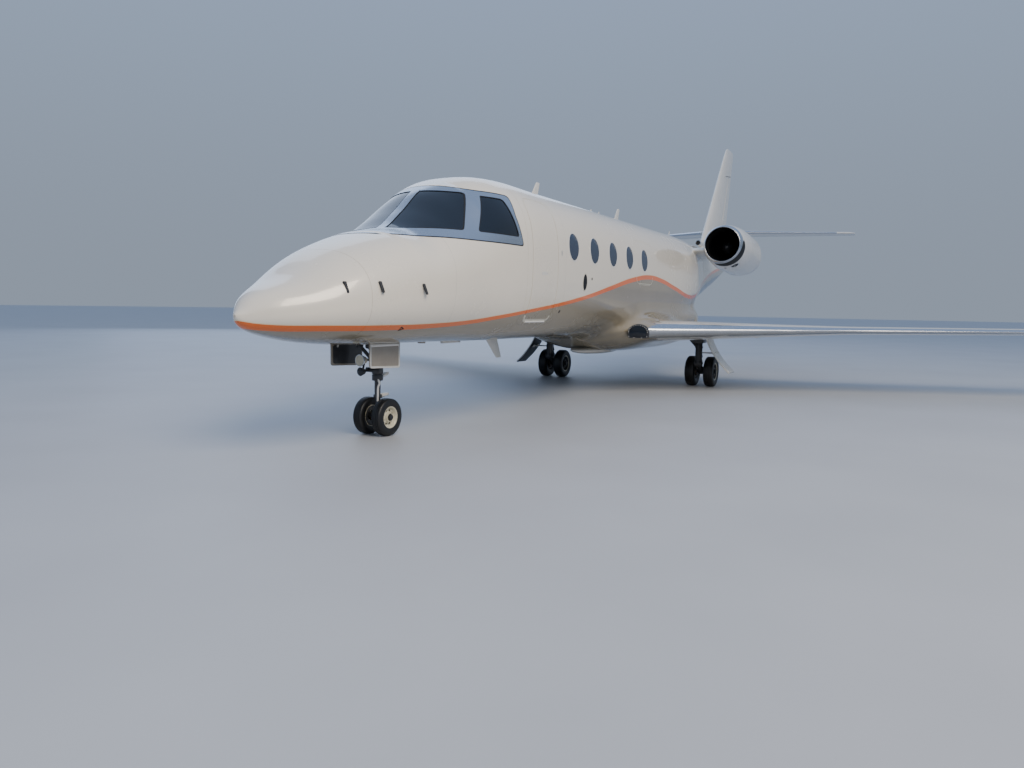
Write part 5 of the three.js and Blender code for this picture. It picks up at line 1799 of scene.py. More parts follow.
def rim_profile(size):
    """A cast wheel's section: its flanges, a drum under the tyre and a dished web with an open back"""
    r, h = size["rim"], size["width"] * 0.38
    outer = [
        (1.02, 0.36), (1.02, 0.43), (0.5, 0.48), (0.38, 0.56), (0.3, 0.7), (0.36, 0.8),
        (0.62, 0.87), (0.93, 0.92)
    ]
    outer += [(1.0, 0.955), (1.03, 1.02), (1.055, 1.055), (1.1, 1.05), (1.11, 1.02)]
    bead = [
        (1.1, 0.985), (0.98, 0.985), (-0.98, 0.985), (-1.06, 1.0), (-1.06, 1.055), (-1.1, 1.055),
        (-1.11, 0.97)
    ]
    inner = [
        (-1.0, 0.93), (-0.5, 0.88), (0.1, 0.84), (0.2, 0.76), (0.16, 0.56), (0.1, 0.47), (-0.3, 0.44),
        (-0.3, 0.36)
    ]
    return [(at * h, radius * r) for at, radius in outer + bead + inner]


def wheel_pieces(stem, size, holes):
    """One wheel's tyre and rim about the X axis, the outer face towards -X"""
    tyre = turned(f"{stem}_tyre", tyre_profile(size, (-0.5, -0.17, 0.17, 0.5)), steps=96)
    rim = turned(f"{stem}_rim", rim_profile(size), steps=96)
    r = size["rim"]
    cutters = []
    for index in range(holes):
        angle = math.tau * (index + 0.5) / holes
        at = Vector((0, math.cos(angle) * r * 0.655, math.sin(angle) * r * 0.655))
        cutters.append(rod("hole", at - Vector((r, 0, 0)), at + Vector((r, 0, 0)), r * 0.12, sides=24))
    carve(rim, joined("holes", *cutters))
    # A black disc behind the web paints the shade seen through its holes
    shade_disc = rod(f"{stem}_backing", (0, 0, 0), (0.004, 0, 0), r * 0.75, sides=48)
    width = size["width"] * 0.38
    flange = [
        (1.03 * width, 0.93 * r), (1.05 * width, 0.95 * r), (1.056 * width, 1.056 * r),
        (1.112 * width, 1.051 * r), (1.122 * width, 1.0 * r), (1.09 * width, 0.95 * r)
    ]
    flange = turned(f"{stem}_flange", flange, steps=96)
    bolts = []
    for index in range(holes):
        angle = math.tau * index / holes
        at = Vector((-0.28 * size["width"] * 0.38, math.cos(angle) * r * 0.655, math.sin(angle) * r * 0.655))
        bolts.append(rod("bolt", at, at - Vector((r * 0.07, 0, 0)), r * 0.042, r * 0.036, sides=6))
    return tyre, smooth(rim), joined(f"{stem}_bolts", *bolts), shade_disc, flange


def inner_dust_and_shade_cover(size):
    """The dark dished cover that closes a wheel's inner face round its hub, its dark tone partly brake dust
    and partly painted shade
    """
    width, r = size["width"] * 0.38, size["rim"]
    profile = [
        (-0.93 * width, 0.5 * r), (-0.99 * width, 0.55 * r), (-0.99 * width, 0.925 * r),
        (-0.93 * width, 0.925 * r)
    ]
    return turned("wheel_dust_and_shade_cover", profile, steps=64)


def fit_wheel(pieces, size, word, y, outward, body, nodes):
    """Copies a wheel's pieces to one end of an axle"""
    turn = Matrix.Rotation(-outward * math.pi / 2, 4, "Z")
    place = Matrix.Translation(aft(size["station"], y, size["radius"])) @ turn
    for piece, part, finish, slot in zip(
        pieces,
        ("tyre", "rim", "rim_bolts", "rim_shade_disc", "rim_flange", "rim_cover"),
        ("tyre_rubber", size["paint"], "plated_steel", "shade_black", "wheel_enamel", "dark_enamel"),
        ("tyre", "wheel", "wheel", "wheel", "wheel", "wheel"),
    ):
        copy = copied(piece, f"{word}_{part}", place)
        stands_for = [nodes.format(part)] if part in ("tyre", "rim") else ()
        dress(copy, finish, body, stands_for)


def nose_gear_fork():
    """The steered piston with its collar, axle, torque arms and pipe"""
    s, low = NOSE["station"], NOSE["radius"]
    link = TORQUE_LINK
    split, piston, collar = NOSE_LEG["split"], NOSE_LEG["piston"], NOSE_LEG["collar"]
    strut = rod("nose_piston", aft(s, 0, link["top"] - 0.03), aft(s, 0, low + 0.03), piston, sides=48)
    dress(strut, "dark_enamel", "nose_fork", ["nose_fork"])
    ends = (aft(s, 0, split - 0.001), aft(s, 0, link["top"] - 0.035))
    lug = (aft(s + 0.045, -0.034, link["bottom"] - 0.02), aft(s - 0.03, 0.034, link["bottom"] + 0.02))
    painted = [
        rod("collar", *ends, collar - 0.002, sides=48, edge=0.004),
        rod("axle_block", aft(s, 0, low + 0.085), aft(s, 0, low - 0.02), 0.046, sides=40, edge=0.006),
        axle_bar("axle_sleeve", s, low, -0.052, 0.052, 0.048, 0.005),
        slab("lower_lug", *lug, 0.006),
    ]
    dress(joined("nose_fork_parts", *painted), "dark_enamel", "nose_fork", ["nose_fork"])
    torque_arms(link)
    line = [aft(s + back, y, z) for back, y, z in FORK_PIPE]
    dress(pipe("nose_fork_pipe", line, 0.011), "white_enamel", "nose_fork")
    axle = [axle_bar("axle", s, low, -NOSE["axle"], NOSE["axle"], NOSE["axle_radius"], 0.004)]
    for way in (-1, 1):
        end = way * (NOSE["axle"] - 0.004)
        nut = (end - way * 0.016, end, NOSE["axle_radius"] + 0.004)
        axle.append(axle_bar("axle_nut", s, low, *nut, 0.002, 6))
    dress(joined("nose_axle", *axle), "moulded_plastic", "nose_fork")


def torque_arms(link):
    """Two parted pairs of links on the strut, each pair with the barrel at its end"""
    s = NOSE["station"]
    arms = []
    for z, rise in ((link["top"] + 0.005, 0.025), (link["bottom"] + 0.005, 0.005)):
        end = aft(s + link["reach"], 0, z + rise)
        for way in (-1, 1):
            ends = (aft(s + 0.03, way * 0.026, z), end + Vector((0, way * 0.012, 0)))
            arms.append(rod("link", *ends, 0.019, link["radius"], 20, 0.002))
        half = Vector((0, 0.022, 0))
        arms.append(rod("link_end", end - half, end + half, 0.016, edge=0.003))
    dress(joined("nose_torque_arms", *arms), "white_enamel", "nose_fork")


def nose_gear_leg():
    """The leg's post with its collars, pins and steering motor, and its drag brace"""
    s = NOSE["station"]
    split, post, collar, pivot = (NOSE_LEG[name] for name in ("split", "post", "collar", "pivot"))
    inside = BAY["half_width"] - 0.0005
    anchor, foot_z = NOSE_BRACE["anchor"], NOSE_BRACE["foot_z"]
    light = TAXI_LIGHT
    motor = [aft(s - 0.065, y, split + 0.05) for y in (-0.09, 0.09)]
    parts = [
        rod("post", aft(s, 0, split + 0.001), aft(s, 0, pivot + 0.03), post, sides=48),
        rod("collar", aft(s, 0, split + 0.004), aft(s, 0, split + 0.08), collar, sides=48, edge=0.006),
        rod("ring", aft(s, 0, split + 0.2), aft(s, 0, split + 0.225), post + 0.006, sides=48, edge=0.003),
        axle_bar("trunnion", s, pivot, -inside, inside, 0.034, 0.004),
        axle_bar("brace_pin", *anchor, -inside, inside, 0.022, 0.004),
        rod("steering_motor", *motor, 0.026, edge=0.004),
    ]
    for way in (-1, 1):
        top = aft(anchor[0], way * 0.095, anchor[1])
        parts.append(rod("brace", aft(s - 0.02, way * 0.02, foot_z), top, 0.02, 0.017, 28))
        knee = aft((s - 0.02 + anchor[0]) / 2, way * 0.0575, (foot_z + anchor[1]) / 2)
        half = Vector((0, 0.026, 0))
        parts.append(rod("knee", knee - half, knee + half, 0.027, edge=0.003))
    arm = (aft(s, 0, light["z"]), aft(light["rear"] - 0.01, 0, light["z"]))
    parts.append(rod("lamp_arm", *arm, 0.014, sides=20))
    dress(joined("nose_leg_parts", *parts), "dark_enamel", stands_for=["nose_leg"])
    lower_lamp(light)
    hoses = []
    for y in (-0.022, 0.022):
        hoses.append(pipe("hose", [aft(s + back, y * out, z) for back, out, z in NOSE_HOSE], 0.005))
    dress(joined("nose_leg_pipes", *hoses), "neoprene")
    taxi_lamp(light)


def lower_lamp(light):
    """The small dark lamp under the taxi light"""
    back = aft(light["rear"] - 0.02, 0, light["z"] - 0.115)
    face = back + Vector((0.05, 0, 0))
    arm_foot = aft(light["rear"] - 0.01, 0, light["z"] - 0.03)
    parts = [
        rod("lamp_body", back, face, 0.03, 0.045, 40),
        rod("lamp_stem", back + Vector((0.01, 0, 0.02)), arm_foot, 0.01, sides=16),
        rod("lamp_body_arm", back, aft(NOSE["station"] - 0.03, 0, light["z"] - 0.1), 0.012, sides=16),
    ]
    dress(joined("lower_lamp_body", *parts), "moulded_plastic")
    ends = (face - Vector((0.003, 0, 0)), face + Vector((0.006, 0, 0)))
    dress(rod("lower_lamp_lens", *ends, 0.043, 0.03, 40), "heated_windshield")


def taxi_lamp(light):
    """A bowl with its bright rim, its reflector and a clear lens"""
    radius = light["radius"]
    ends = (aft(light["rear"], 0, light["z"]), aft(light["front"] + 0.004, 0, light["z"]))
    dress(rod("taxi_bowl", *ends, radius * 0.55, radius - 0.003, 48), "wheel_enamel")
    axis = Vector((1, 0, 0))
    face = aft(light["front"] + 0.006, 0, light["z"])
    rim = rod("taxi_rim", face - axis * 0.01, face + axis * 0.003, radius, sides=48, edge=0.003)
    carve(rim, rod("space", face - axis * 0.02, face + axis * 0.02, radius - 0.007, sides=48))
    dress(rim, "chromed_steel")
    mirror = rod("taxi_reflector", face - axis * 0.012, face - axis * 0.009, radius - 0.009, sides=48)
    dress(mirror, "chromed_steel")
    lens = rod("taxi_lens", face - axis * 0.008, face, radius - 0.0075, radius - 0.011, 48)
    dress(lens, "lamp_glass")


def nose_gear_doors():
    """Two flat leaves hang beside the bay; each has a pale rim, and two arms tie it to the bay's edge"""
    d = NOSE_DOOR
    for word, side in SIDES:
        y = side * d["y"]
        outline = (
            (d["front"], d["bottom"] + 0.02), (d["rear"], d["bottom"]), (d["rear"], 1.05), (d["front"], 1.05)
        )
        border = rounded(outline, (0.03, 0.03, 0.002, 0.002))
        leaf = prism(f"nose_door_panel_{word}", border, y - d["half"], y + d["half"])
        carve(leaf, hull_solid("space", 1.2, 2.1, 0.1, -0.0003))
        dress(bevelled(leaf, 0.002, 2), "taupe_enamel", stands_for=[f"nose_door_{word}"])
        near, far = y + side * (d["half"] - 0.001), y + side * (d["half"] + 0.0015)
        rim = prism(f"nose_door_rim_{word}", border, near, far)
        middle = [(d["front"] + 0.02, d["bottom"] + 0.04), (d["rear"] - 0.02, d["bottom"] + 0.02)]
        middle += [(d["rear"] - 0.02, 0.95), (d["front"] + 0.02, 0.95)]
        carve(rim, prism("space", rounded(middle, 0.015), y, y + side * 0.05))
        carve(rim, hull_solid("space", 1.2, 2.1, 0.1, -0.0003))
        dress(rim, "white_enamel")
        near = y - side * d["half"]
        faces = (near + side * 0.001, near - side * 0.003)
        # A dark sheet on the door's inner face paints the shade that falls there
        pad = prism(f"nose_door_inner_skin_{word}", rounded(middle, 0.03), *faces)
        dress(pad, "dark_enamel")
        arms = []
        for station in (d["front"] + 0.08, d["rear"] - 0.1):
            ends = (aft(station, near - side * 0.006, 0.93), aft(station, side * 0.215, 0.985))
            arms.append(rod("hinge_arm", *ends, 0.009, sides=16))
        dress(joined(f"nose_door_arms_{word}", *arms), "gear_enamel")


class JET_OT_nose_gear(bpy.types.Operator):
    """Build the nose leg, its steered fork with a pair of wheels, the taxi lamp and the doors"""

    bl_idname = "jet.nose_gear"
    bl_label = "Nose gear"

    def execute(self, context):
        nose_gear_fork()
        nose_gear_leg()
        nose_gear_doors()
        pieces = wheel_pieces("nose", NOSE, 8) + (inner_dust_and_shade_cover(NOSE),)
        for word, side in SIDES:
            fit_wheel(
                pieces, NOSE, f"nose_{word}", side * NOSE["twin"], side, "nose_wheels", f"nose_{{}}_{word}"
            )
        for piece in pieces:
            bpy.data.objects.remove(piece)
        return {"FINISHED"}


def main_gear_leg():
    s, y, low = MAIN_LEG["station"], MAIN["y"], MAIN["radius"]
    radius, elbow, head, top = (MAIN_LEG[name] for name in ("radius", "elbow", "head", "top"))
    knuckle = 0.062
    strut_top, strut_foot = aft(s + 0.045, y, head), aft(MAIN["station"] - 0.035, y, low + 0.06)
    parts = [
        rod("post", aft(s, y, elbow), aft(s, y, top), radius, sides=48),
        rod(
            "post_ring", aft(s, y, head - 0.09), aft(s, y, head - 0.06), radius + 0.008, sides=48, edge=0.004
        ),
        slab("head", aft(s + 0.13, y - 0.1, head), aft(s - 0.15, y + 0.1, top), 0.012, 3),
        axle_bar("elbow", s, elbow, y - knuckle, y + knuckle, radius + 0.004, 0.008, 48),
        axle_bar("elbow_pin", s, elbow, y - knuckle - 0.016, y + knuckle + 0.016, 0.022, 0.003),
        rod("link", aft(s, y, elbow), aft(MAIN["station"], y, low), 0.046, 0.05, 40),
        axle_bar("axle_boss", MAIN["station"], low, y - knuckle, y + knuckle, 0.056, 0.008, 48),
        rod("strut", strut_top, strut_top.lerp(strut_foot, 0.55), 0.033, sides=40, edge=0.004),
        rod(
            "strut_gland", strut_top.lerp(strut_foot, 0.5), strut_top.lerp(strut_foot, 0.57), 0.037, sides=40,
            edge=0.003
        ),
        axle_bar("strut_pin", MAIN["station"] - 0.035, low + 0.06, y - 0.05, y + 0.05, 0.018, 0.003),
        rod(
            "side_brace", aft(s, y - 0.03, head - 0.08), aft(s - 0.02, y - 0.215, top - 0.02), 0.024, 0.022,
            32
        ),
        slab("lug", aft(s + 0.03, y - 0.055, head - 0.13), aft(s - 0.03, y - 0.02, head - 0.05), 0.006),
    ]
    return joined("main_leg_parts", *parts)


def main_gear_brakes():
    """Carbon stacks in the open backs of both wheels"""
    s, low, rim = MAIN["station"], MAIN["radius"], MAIN["rim"]
    discs = []
    for way in (-1, 1):
        middle = MAIN["y"] + way * MAIN["twin"]
        for index in range(4):
            near = middle - way * (0.064 - 0.016 * index)
            disc = axle_bar("disc", s, low, near, near + way * 0.01, rim * 0.78, 0.002, 48)
            discs.append(disc)
        near = middle - way * 0.066
        discs.append(axle_bar("carrier", s, low, near, near - way * 0.02, rim * 0.6, 0.004, 48))
        for k in range(6):
            a = math.tau * k / 6
            at = aft(s + 0.44 * rim * math.cos(a), near, low + 0.44 * rim * math.sin(a))
            discs.append(rod("piston_cap", at, at - Vector((0, way * 0.032, 0)), 0.013, sides=20, edge=0.002))
    return joined("brake_stack", *discs)


def main_gear_pipes():
    s, y, low = MAIN_LEG["station"], MAIN["y"], MAIN["radius"]
    pipes = []
    for way in (-1, 1):
        path = [
            aft(s - 0.07, y + way * 0.02, 0.78),
            aft(s - 0.078, y + way * 0.028, 0.6),
            aft(s - 0.07, y + way * 0.035, 0.44),
            aft(s + 0.04, y + way * 0.064, 0.36),
            aft(MAIN["station"] - 0.07, y + way * 0.085, low + 0.03),
        ]
        pipes.append(pipe("pipe", path, 0.006))
    return joined("brake_pipes", *pipes)


def main_gear_door():
    """A curved leaf that hangs from the wing outboard of the wheels"""
    path = smooth_path([Vector((y, z, 0)) for y, z in MAIN_DOOR_PATH], 5)
    front, rear, thickness = (MAIN_DOOR[name] for name in ("front", "rear", "thickness"))
    rings = []
    for i, here in enumerate(path):
        along = (path[min(i + 1, len(path) - 1)] - path[max(i - 1, 0)]).normalized() * thickness
        share = 4 * i / (len(path) - 1)
        ends = (front - 0.006 * share, rear - 0.018 * share)
        ring = []
        for station, depth in ((ends[0], 0), (ends[1], 0), (ends[1], 1), (ends[0], 1)):
            ring.append(aft(station, here.x - depth * along.y, here.y + depth * along.x))
        rings.append(ring)
    door = loft("main_door_panel", rings)
    wing = loft("space", [wing_ring(row, grow=0.0008) for row in wing_rows() if 0.9 < row["y"] < 3])
    carve(door, wing)
    return bevelled(door, 0.004, 2, 50)


def door_arms():
    """Two arms from the leg to the inside of its door"""
    y = MAIN["y"]
    parts = []
    for station in (MAIN_LEG["station"] - 0.1, MAIN_LEG["station"] + 0.08):
        end = aft(station, 1.81, 0.62)
        parts.append(rod("arm", aft(MAIN_LEG["station"], y + 0.04, 0.62), end, 0.011, sides=16))
        foot = (end - Vector((0.03, 0.03, 0.03)), end + Vector((0.03, 0.012, 0.03)))
        parts.append(slab("arm_foot", *foot, 0.008))
    return joined("main_door_arms", *parts)


class JET_OT_main_gear(bpy.types.Operator):
    """Build the trailing-link main legs with their struts, brakes, wheels and doors"""

    bl_idname = "jet.main_gear"
    bl_label = "Main gear"

    def execute(self, context):
        dress_both(main_gear_leg(), "main_leg_parts", "dark_enamel", "gear", "main_leg")
        s, y = MAIN_LEG["station"], MAIN["y"]
        top = aft(s + 0.045, y, MAIN_LEG["head"])
        foot = aft(MAIN["station"] - 0.035, y, MAIN["radius"] + 0.06)
        piston = rod("main_piston", top.lerp(foot, 0.45), foot, 0.024, sides=40)
        dress_both(piston, "main_piston", "chromed_steel", "gear")
        dress_both(main_gear_brakes(), "brake_stack", "heated_alloy", "gear")
        dress_both(main_gear_pipes(), "brake_pipes", "neoprene", "gear")
        ends = (y - MAIN["axle"], y + MAIN["axle"])
        axle = axle_bar("axle", MAIN["station"], MAIN["radius"], *ends, MAIN["axle_radius"], 0.006)
        dress_both(axle, "main_axle", "moulded_plastic", "gear")
        door = main_gear_door()
        for piece, word, _ in both_sides(door, "main_door_panel"):
            dress(piece, "white_enamel", stands_for=[f"main_door_{word}"])
            # Faces on the door's inner side take the dark enamel: painted shade on the shadowed inner side
            piece.data.materials.append(bpy.data.materials["dark_enamel"])
            for face in piece.data.polygons:
                if face.normal.y * (PORT if word == "left" else STARBOARD) < -0.3:
                    face.material_index = 1
        dress_both(door_arms(), "main_door_arms", "white_enamel", "gear")
        pieces = wheel_pieces("main", MAIN, 10)
        for word, side in SIDES:
            for place, way in (("outer", 1), ("inner", -1)):
                at = side * (y + way * MAIN["twin"])
                nodes = f"main_{{}}_{word}_{place}"
                fit_wheel(pieces, MAIN, f"main_{word}_{place}", at, side * way, f"main_wheels_{word}", nodes)
        for piece in pieces:
            bpy.data.objects.remove(piece)
        return {"FINISHED"}


# Cabin


def cushion(name, low, high, crown, round_by=0.12):
    """A stuffed pad between two corners, its faces crowned, as a smooth subdivision surface"""
    low, high = Vector(low), Vector(high)
    size = high - low
    shares = (0, round_by, 0.5, 1 - round_by, 1)
    points = []
    index = {}
    for i, j, k in ((i, j, k) for i in range(5) for j in range(5) for k in range(5)):
        if not {i, j, k} & {0, 4}:
            continue
        share = Vector((shares[i], shares[j], shares[k]))
        point = Vector([low[n] + size[n] * share[n] for n in range(3)])
        middle = sum(which == 2 for which in (i, j, k))
        if middle == 2:
            out = Vector([(which - 2) / 2 if which != 2 else 0 for which in (i, j, k)])
            point += out * crown
        index[i, j, k] = len(points)
        points.append(point)
    faces = []
    for axis in range(3):
        others = [n for n in range(3) if n != axis]
        for end in (0, 4):
            for a, b in ((a, b) for a in range(4) for b in range(4)):
                corner = []
                for da, db in ((0, 0), (1, 0), (1, 1), (0, 1)):
                    at = [0, 0, 0]
                    at[axis], at[others[0]], at[others[1]] = end, a + da, b + db
                    corner.append(index[tuple(at)])
                faces.append(corner)
    piece = face_outwards(from_points(name, points, faces))
    return smooth(modify(piece, "SUBSURF", levels=2, render_levels=2), 80)


PILOT_SEAT = {"station": 2.9, "y": 0.375, "width": 0.44, "facing": 1, "cushion_top": 1.54, "back_top": 2.3}
CABIN_SEAT = {"y": 0.455, "width": 0.48, "cushion_top": 1.54, "back_top": 2.18}
CABIN_SEATS = columns("station facing", (4.9, -1), (5.96, 1), (7.15, 1))


def seat(name, station, y, width, facing, cushion_top, back_top):
    """A seat's pads and its base; it faces forward, or aft where facing is -1"""

    def block(maker, piece_name, along, across, up, *rest):
        ends = sorted(station + facing * reach for reach in along)
        sides = sorted(y + width * reach for reach in across)
        return maker(piece_name, aft(ends[1], sides[0], up[0]), aft(ends[0], sides[1], up[1]), *rest)

    pads = [
        block(cushion, "squab", (-0.26, 0.2), (-0.5, 0.5), (cushion_top - 0.13, cushion_top), 0.02),
        block(cushion, "back", (0.18, 0.31), (-0.42, 0.42), (cushion_top - 0.03, back_top - 0.19), 0.02),
        block(cushion, "headrest", (0.2, 0.31), (-0.32, 0.32), (back_top - 0.2, back_top), 0.015, 0.2),
    ]
    for way in (-1, 1):
        inner, outer = sorted((way * 0.36, way * 0.5))
        for stem, along, up, crown in (
            ("bolster", (0.14, 0.29), (cushion_top - 0.02, back_top - 0.24), 0.006),
            ("armrest", (-0.2, 0.2), (cushion_top + 0.13, cushion_top + 0.18), 0.004),
        ):
            pads.append(block(cushion, stem, along, (inner, outer), up, crown, 0.25))
    hide = joined(f"{name}_pads", *pads)
    dress(smooth(hide, 80), "dyed_leather")
    base = [
        block(slab, "foot", (-0.15, 0.18), (-0.25, 0.25), (FLOOR_TOP + 0.0005, cushion_top - 0.12)),
        block(slab, "tray", (-0.22, 0.26), (-0.46, 0.46), (cushion_top - 0.15, cushion_top - 0.1)),
        block(slab, "shell", (0.29, 0.315), (-0.42, 0.42), (cushion_top - 0.12, back_top - 0.24), 0.01),
    ]
    for way in (-1, 1):
        inner, outer = sorted((way * 0.4, way * 0.47))
        base.append(
            block(slab, "arm_panel", (-0.15, 0.22), (inner, outer), (cushion_top - 0.1, cushion_top + 0.145))
        )
    base = joined(f"{name}_base", *base)
    dress(base, "moulded_plastic")
    return hide


YOKE_GRIP = ((-0.15, 0.09), (-0.16, 0.0), (-0.08, -0.04), (0.08, -0.04), (0.16, 0.0), (0.15, 0.09))


def flight_deck():
    """The instrument board with its glareshield, pedestal and blank screens"""
    space = hull_solid("deck_space", 1.6, 3.2, 0.1, CABIN_WALL + 0.001)
    board = slab("panel_board", aft(2.12, -0.76, 1.52), aft(1.96, 0.76, 2.02), 0.01)
    shade = slab("glareshield", aft(2.24, -0.7, 1.995), aft(1.9, 0.7, 2.045), 0.015, 3)
    pedestal = slab("pedestal", aft(2.74, -0.14, FLOOR_TOP + 0.001), aft(2.08, 0.14, 1.6), 0.02, 3)
    for piece in (board, shade):
        carve(piece, space, operation="INTERSECT", keep=True)
    bpy.data.objects.remove(space)
    panel = joined("instrument_board", board, shade, pedestal)
    dress(panel, "moulded_plastic", stands_for=["instrument_panel"])
    screens = []
    for y in (-0.44, 0.0, 0.44):
        screens.append(slab("screen", aft(2.128, y - 0.16, 1.68), aft(2.115, y + 0.16, 1.93), 0.006))
    dress(joined("instrument_displays", *screens), "display_glass")
    flight_controls()


def flight_controls():
    """Each pilot's column with its yoke, and a lever with its knob"""
    controls = []
    half = Vector((0, 0.02, 0))
    for side in (-1, 1):
        hub = aft(2.42, side * 0.375, 1.72)
        controls.append(rod("column", aft(2.14, side * 0.375, 1.68), hub, 0.018, sides=20))
        controls.append(pipe("yoke", [hub + Vector((0, y, z)) for y, z in YOKE_GRIP], 0.014))
        foot = aft(2.35, side * 0.035, 1.58)
        top = foot + Vector((0.03, 0, 0.15))
        controls.append(rod("lever", foot, top, 0.009, sides=16, edge=0.002))
        controls.append(rod("lever_knob", top - half, top + half, 0.016, edge=0.003))
    dress(joined("flight_controls", *controls), "moulded_plastic")


class JET_OT_cabin(bpy.types.Operator):
    """Lay the floor and fit the seats, side ledges, tables and the flight deck's panel"""

    bl_idname = "jet.cabin"
    bl_label = "Cabin"

    def execute(self, context):
        carpet = slab("cabin_carpet", aft(8.89, -0.9, 0.97), aft(2.01, 0.9, FLOOR_TOP), 0)
        carve(carpet, hull_solid("space", 1.9, 8.9, 0.1, CABIN_WALL + 0.0005), operation="INTERSECT")
        dress(carpet, "wool_carpet", stands_for=["cabin_floor"])
        for word, side in SIDES:
            hide = seat(f"pilot_seat_{word}", **{**PILOT_SEAT, "y": side * PILOT_SEAT["y"]})
            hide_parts(f"pilot_seat_{word}")
            for index, row in enumerate(CABIN_SEATS):
                name = f"cabin_seat_{word}_{index + 1}"
                hide = seat(name, **row, **{**CABIN_SEAT, "y": side * CABIN_SEAT["y"]})
                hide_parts(f"seat_row_{word}")
            y = side * CABIN_SEAT["y"]
            low, high = aft(7.25, y - 0.03, FLOOR_TOP + 0.0005), aft(4.8, y + 0.03, FLOOR_TOP + 0.04)
            dress(slab(f"seat_rail_{word}", low, high, 0.004), "plated_steel")
            ledge = slab(f"side_ledge_{word}", aft(7.6, side * 0.74, 1.5), aft(4.5, side * 0.86, 1.9), 0.012)
            carve(ledge, hull_solid("space", 4.3, 7.8, 0.2, CABIN_WALL + 0.002), operation="INTERSECT")
            dress(ledge, "walnut_veneer")
            low, high = aft(5.62, side * 0.27, 1.7), aft(5.2, side * 0.74, 1.725)
            dress(slab(f"folding_table_{word}", low, high, 0.006), "walnut_veneer")
        flight_deck()
        return {"FINISHED"}


# Fittings on the skin


def skin_probe(row):
    """A flat blade that leans out, down and a little aft from a round foot on the skin"""
    base = aft(row["station"], hull_side(row["station"], row["z"]), row["z"])
    out = Vector((0, 0.34, -0.94)).normalized()
    across = out.cross(Vector((1, 0, 0)))
    foot = rod("foot", base - Vector((0, 0.012, 0)), base + Vector((0, 0.004, 0)), 0.018, 0.014, 28)
    rings = []
    for share, narrow in ((-0.15, 1.0), (0.5, 0.95), (0.93, 0.88), (1.0, 0.6)):
        lead = base + out * 0.092 * share + Vector((0.02 - 0.01 * share, 0.008, 0))
        rings.append(foil_ring(lead, across, 0.042 * narrow, 0.5))
    return joined("air_data_probe", foot, smooth(loft("blade", rings), 50))


def skin_vents(word, side):
    """The oval outlet below the first cabin windows, with its pale rim, and the small ports near it; the
    black patches are painted shade inside the openings
    """
    shapes = (
        ("outlet", lambda inset: oval(4.972, 1.716, 0.062 - inset, 0.106 - inset), 0.0612, "shade_black"),
        ("outlet_rim", lambda inset: oval(4.972, 1.716, 0.076 - inset, 0.12 - inset), 0.013, "silicone_seal"),
        ("port_a", lambda inset: oval(5.2, 1.77, 0.02 - inset, 0.018 - inset, 20), 0.017, "moulded_plastic"),
        ("port_b", lambda inset: oval(4.23, 2.046, 0.02 - inset, 0.035 - inset, 20), 0.018, "gear_enamel"),
        ("port_c", lambda inset: oval(4.347, 1.321, 0.018 - inset, 0.02 - inset, 20), 0.014, "shade_black"),
        ("nose_port", lambda inset: oval(1.4, 1.14, 0.04 - inset, 0.026 - inset, 3), 0.018, "shade_black"),
    )
    for stem, outline, width, finish in shapes:
        trim_band(f"{stem}_{word}", outline, raised(width, 0.0012), side, finish)


def skin_pads():
    """The pale rail under the belly and the jack pad ahead of it"""
    bar = slab("belly_rail", aft(3.38, -0.02, 0.925), aft(3.0, 0.02, 1.0), 0.004)
    dress(bar, "white_enamel")
    pad = rod("nose_jack_pad", aft(2.6, 0, 1.0), aft(2.6, 0, 0.94), 0.045, edge=0.003)
    dress(pad, "taupe_enamel")


def skin_masts():
    """The drain mast under each engine pod"""
    up = Vector((0, 1, 0))
    for word, side in SIDES:
        rings = []
        for share in (0, 0.6, 1):
            lead = aft(12.02 + 0.07 * share, side * 1.34, 2.27 - 0.12 * share)
            rings.append(foil_ring(lead, up, 0.09 * (1 - 0.5 * share), 0.16))
        dress(loft(f"drain_mast_{word}", rings), "gear_enamel")


class JET_OT_fittings(bpy.types.Operator):
    """Add the blade aerials, air-data probes, vents, masts and jacking pads"""

    bl_idname = "jet.fittings"
    bl_label = "Fittings"

    def execute(self, context):
        across = Vector((0, 1, 0))
        for index, row in enumerate(AERIALS):
            rings = []
            for share, narrow in (
                (-0.06, 1.0), (0.0, 1.0), (0.5, 0.985), (0.85, 0.96), (0.96, 0.9), (0.995, 0.72), (1.0, 0.5)
            ):
                taper = 1 - (1 - AERIAL_TIP["chord"]) * share
                lead = row["station"] + AERIAL_TIP["back"] * row["chord"] * share
                chord = row["chord"] * taper
                spare = chord * (1 - narrow) / 2
                z = row["root"] + row["reach"] * share
                rings.append(foil_ring(aft(lead + spare, 0, z), across, chord - 2 * spare, 0.1))
            blade = smooth(loft(f"blade_aerial_{index + 1}", rings), 40)
            dress(blade, "white_enamel")
        for index, row in enumerate(PROBES):
            dress_both(skin_probe(row), f"air_data_probe_{index + 1}", "moulded_plastic", "trim")
        for word, side in SIDES:
            skin_vents(word, side)
        skin_pads()
        skin_masts()
        return {"FINISHED"}


# Stage


def lay_floor(stage):
    bpy.ops.mesh.primitive_plane_add(size=stage.floor_size)
    floor = settled("floor")
    tree, shader = new_finish("pale_floor", Roughness=0.55)
    pale = tuple(stage.floor_tone)
    drift = noise(tree, object_place(tree), 0.6, 6.0)
    tree.links.new(
        blended_tone(tree, drift, pale, tuple(part * 0.82 for part in pale)), shader.inputs["Base Color"]
    )
    floor.data.materials.append(bpy.data.materials["pale_floor"])


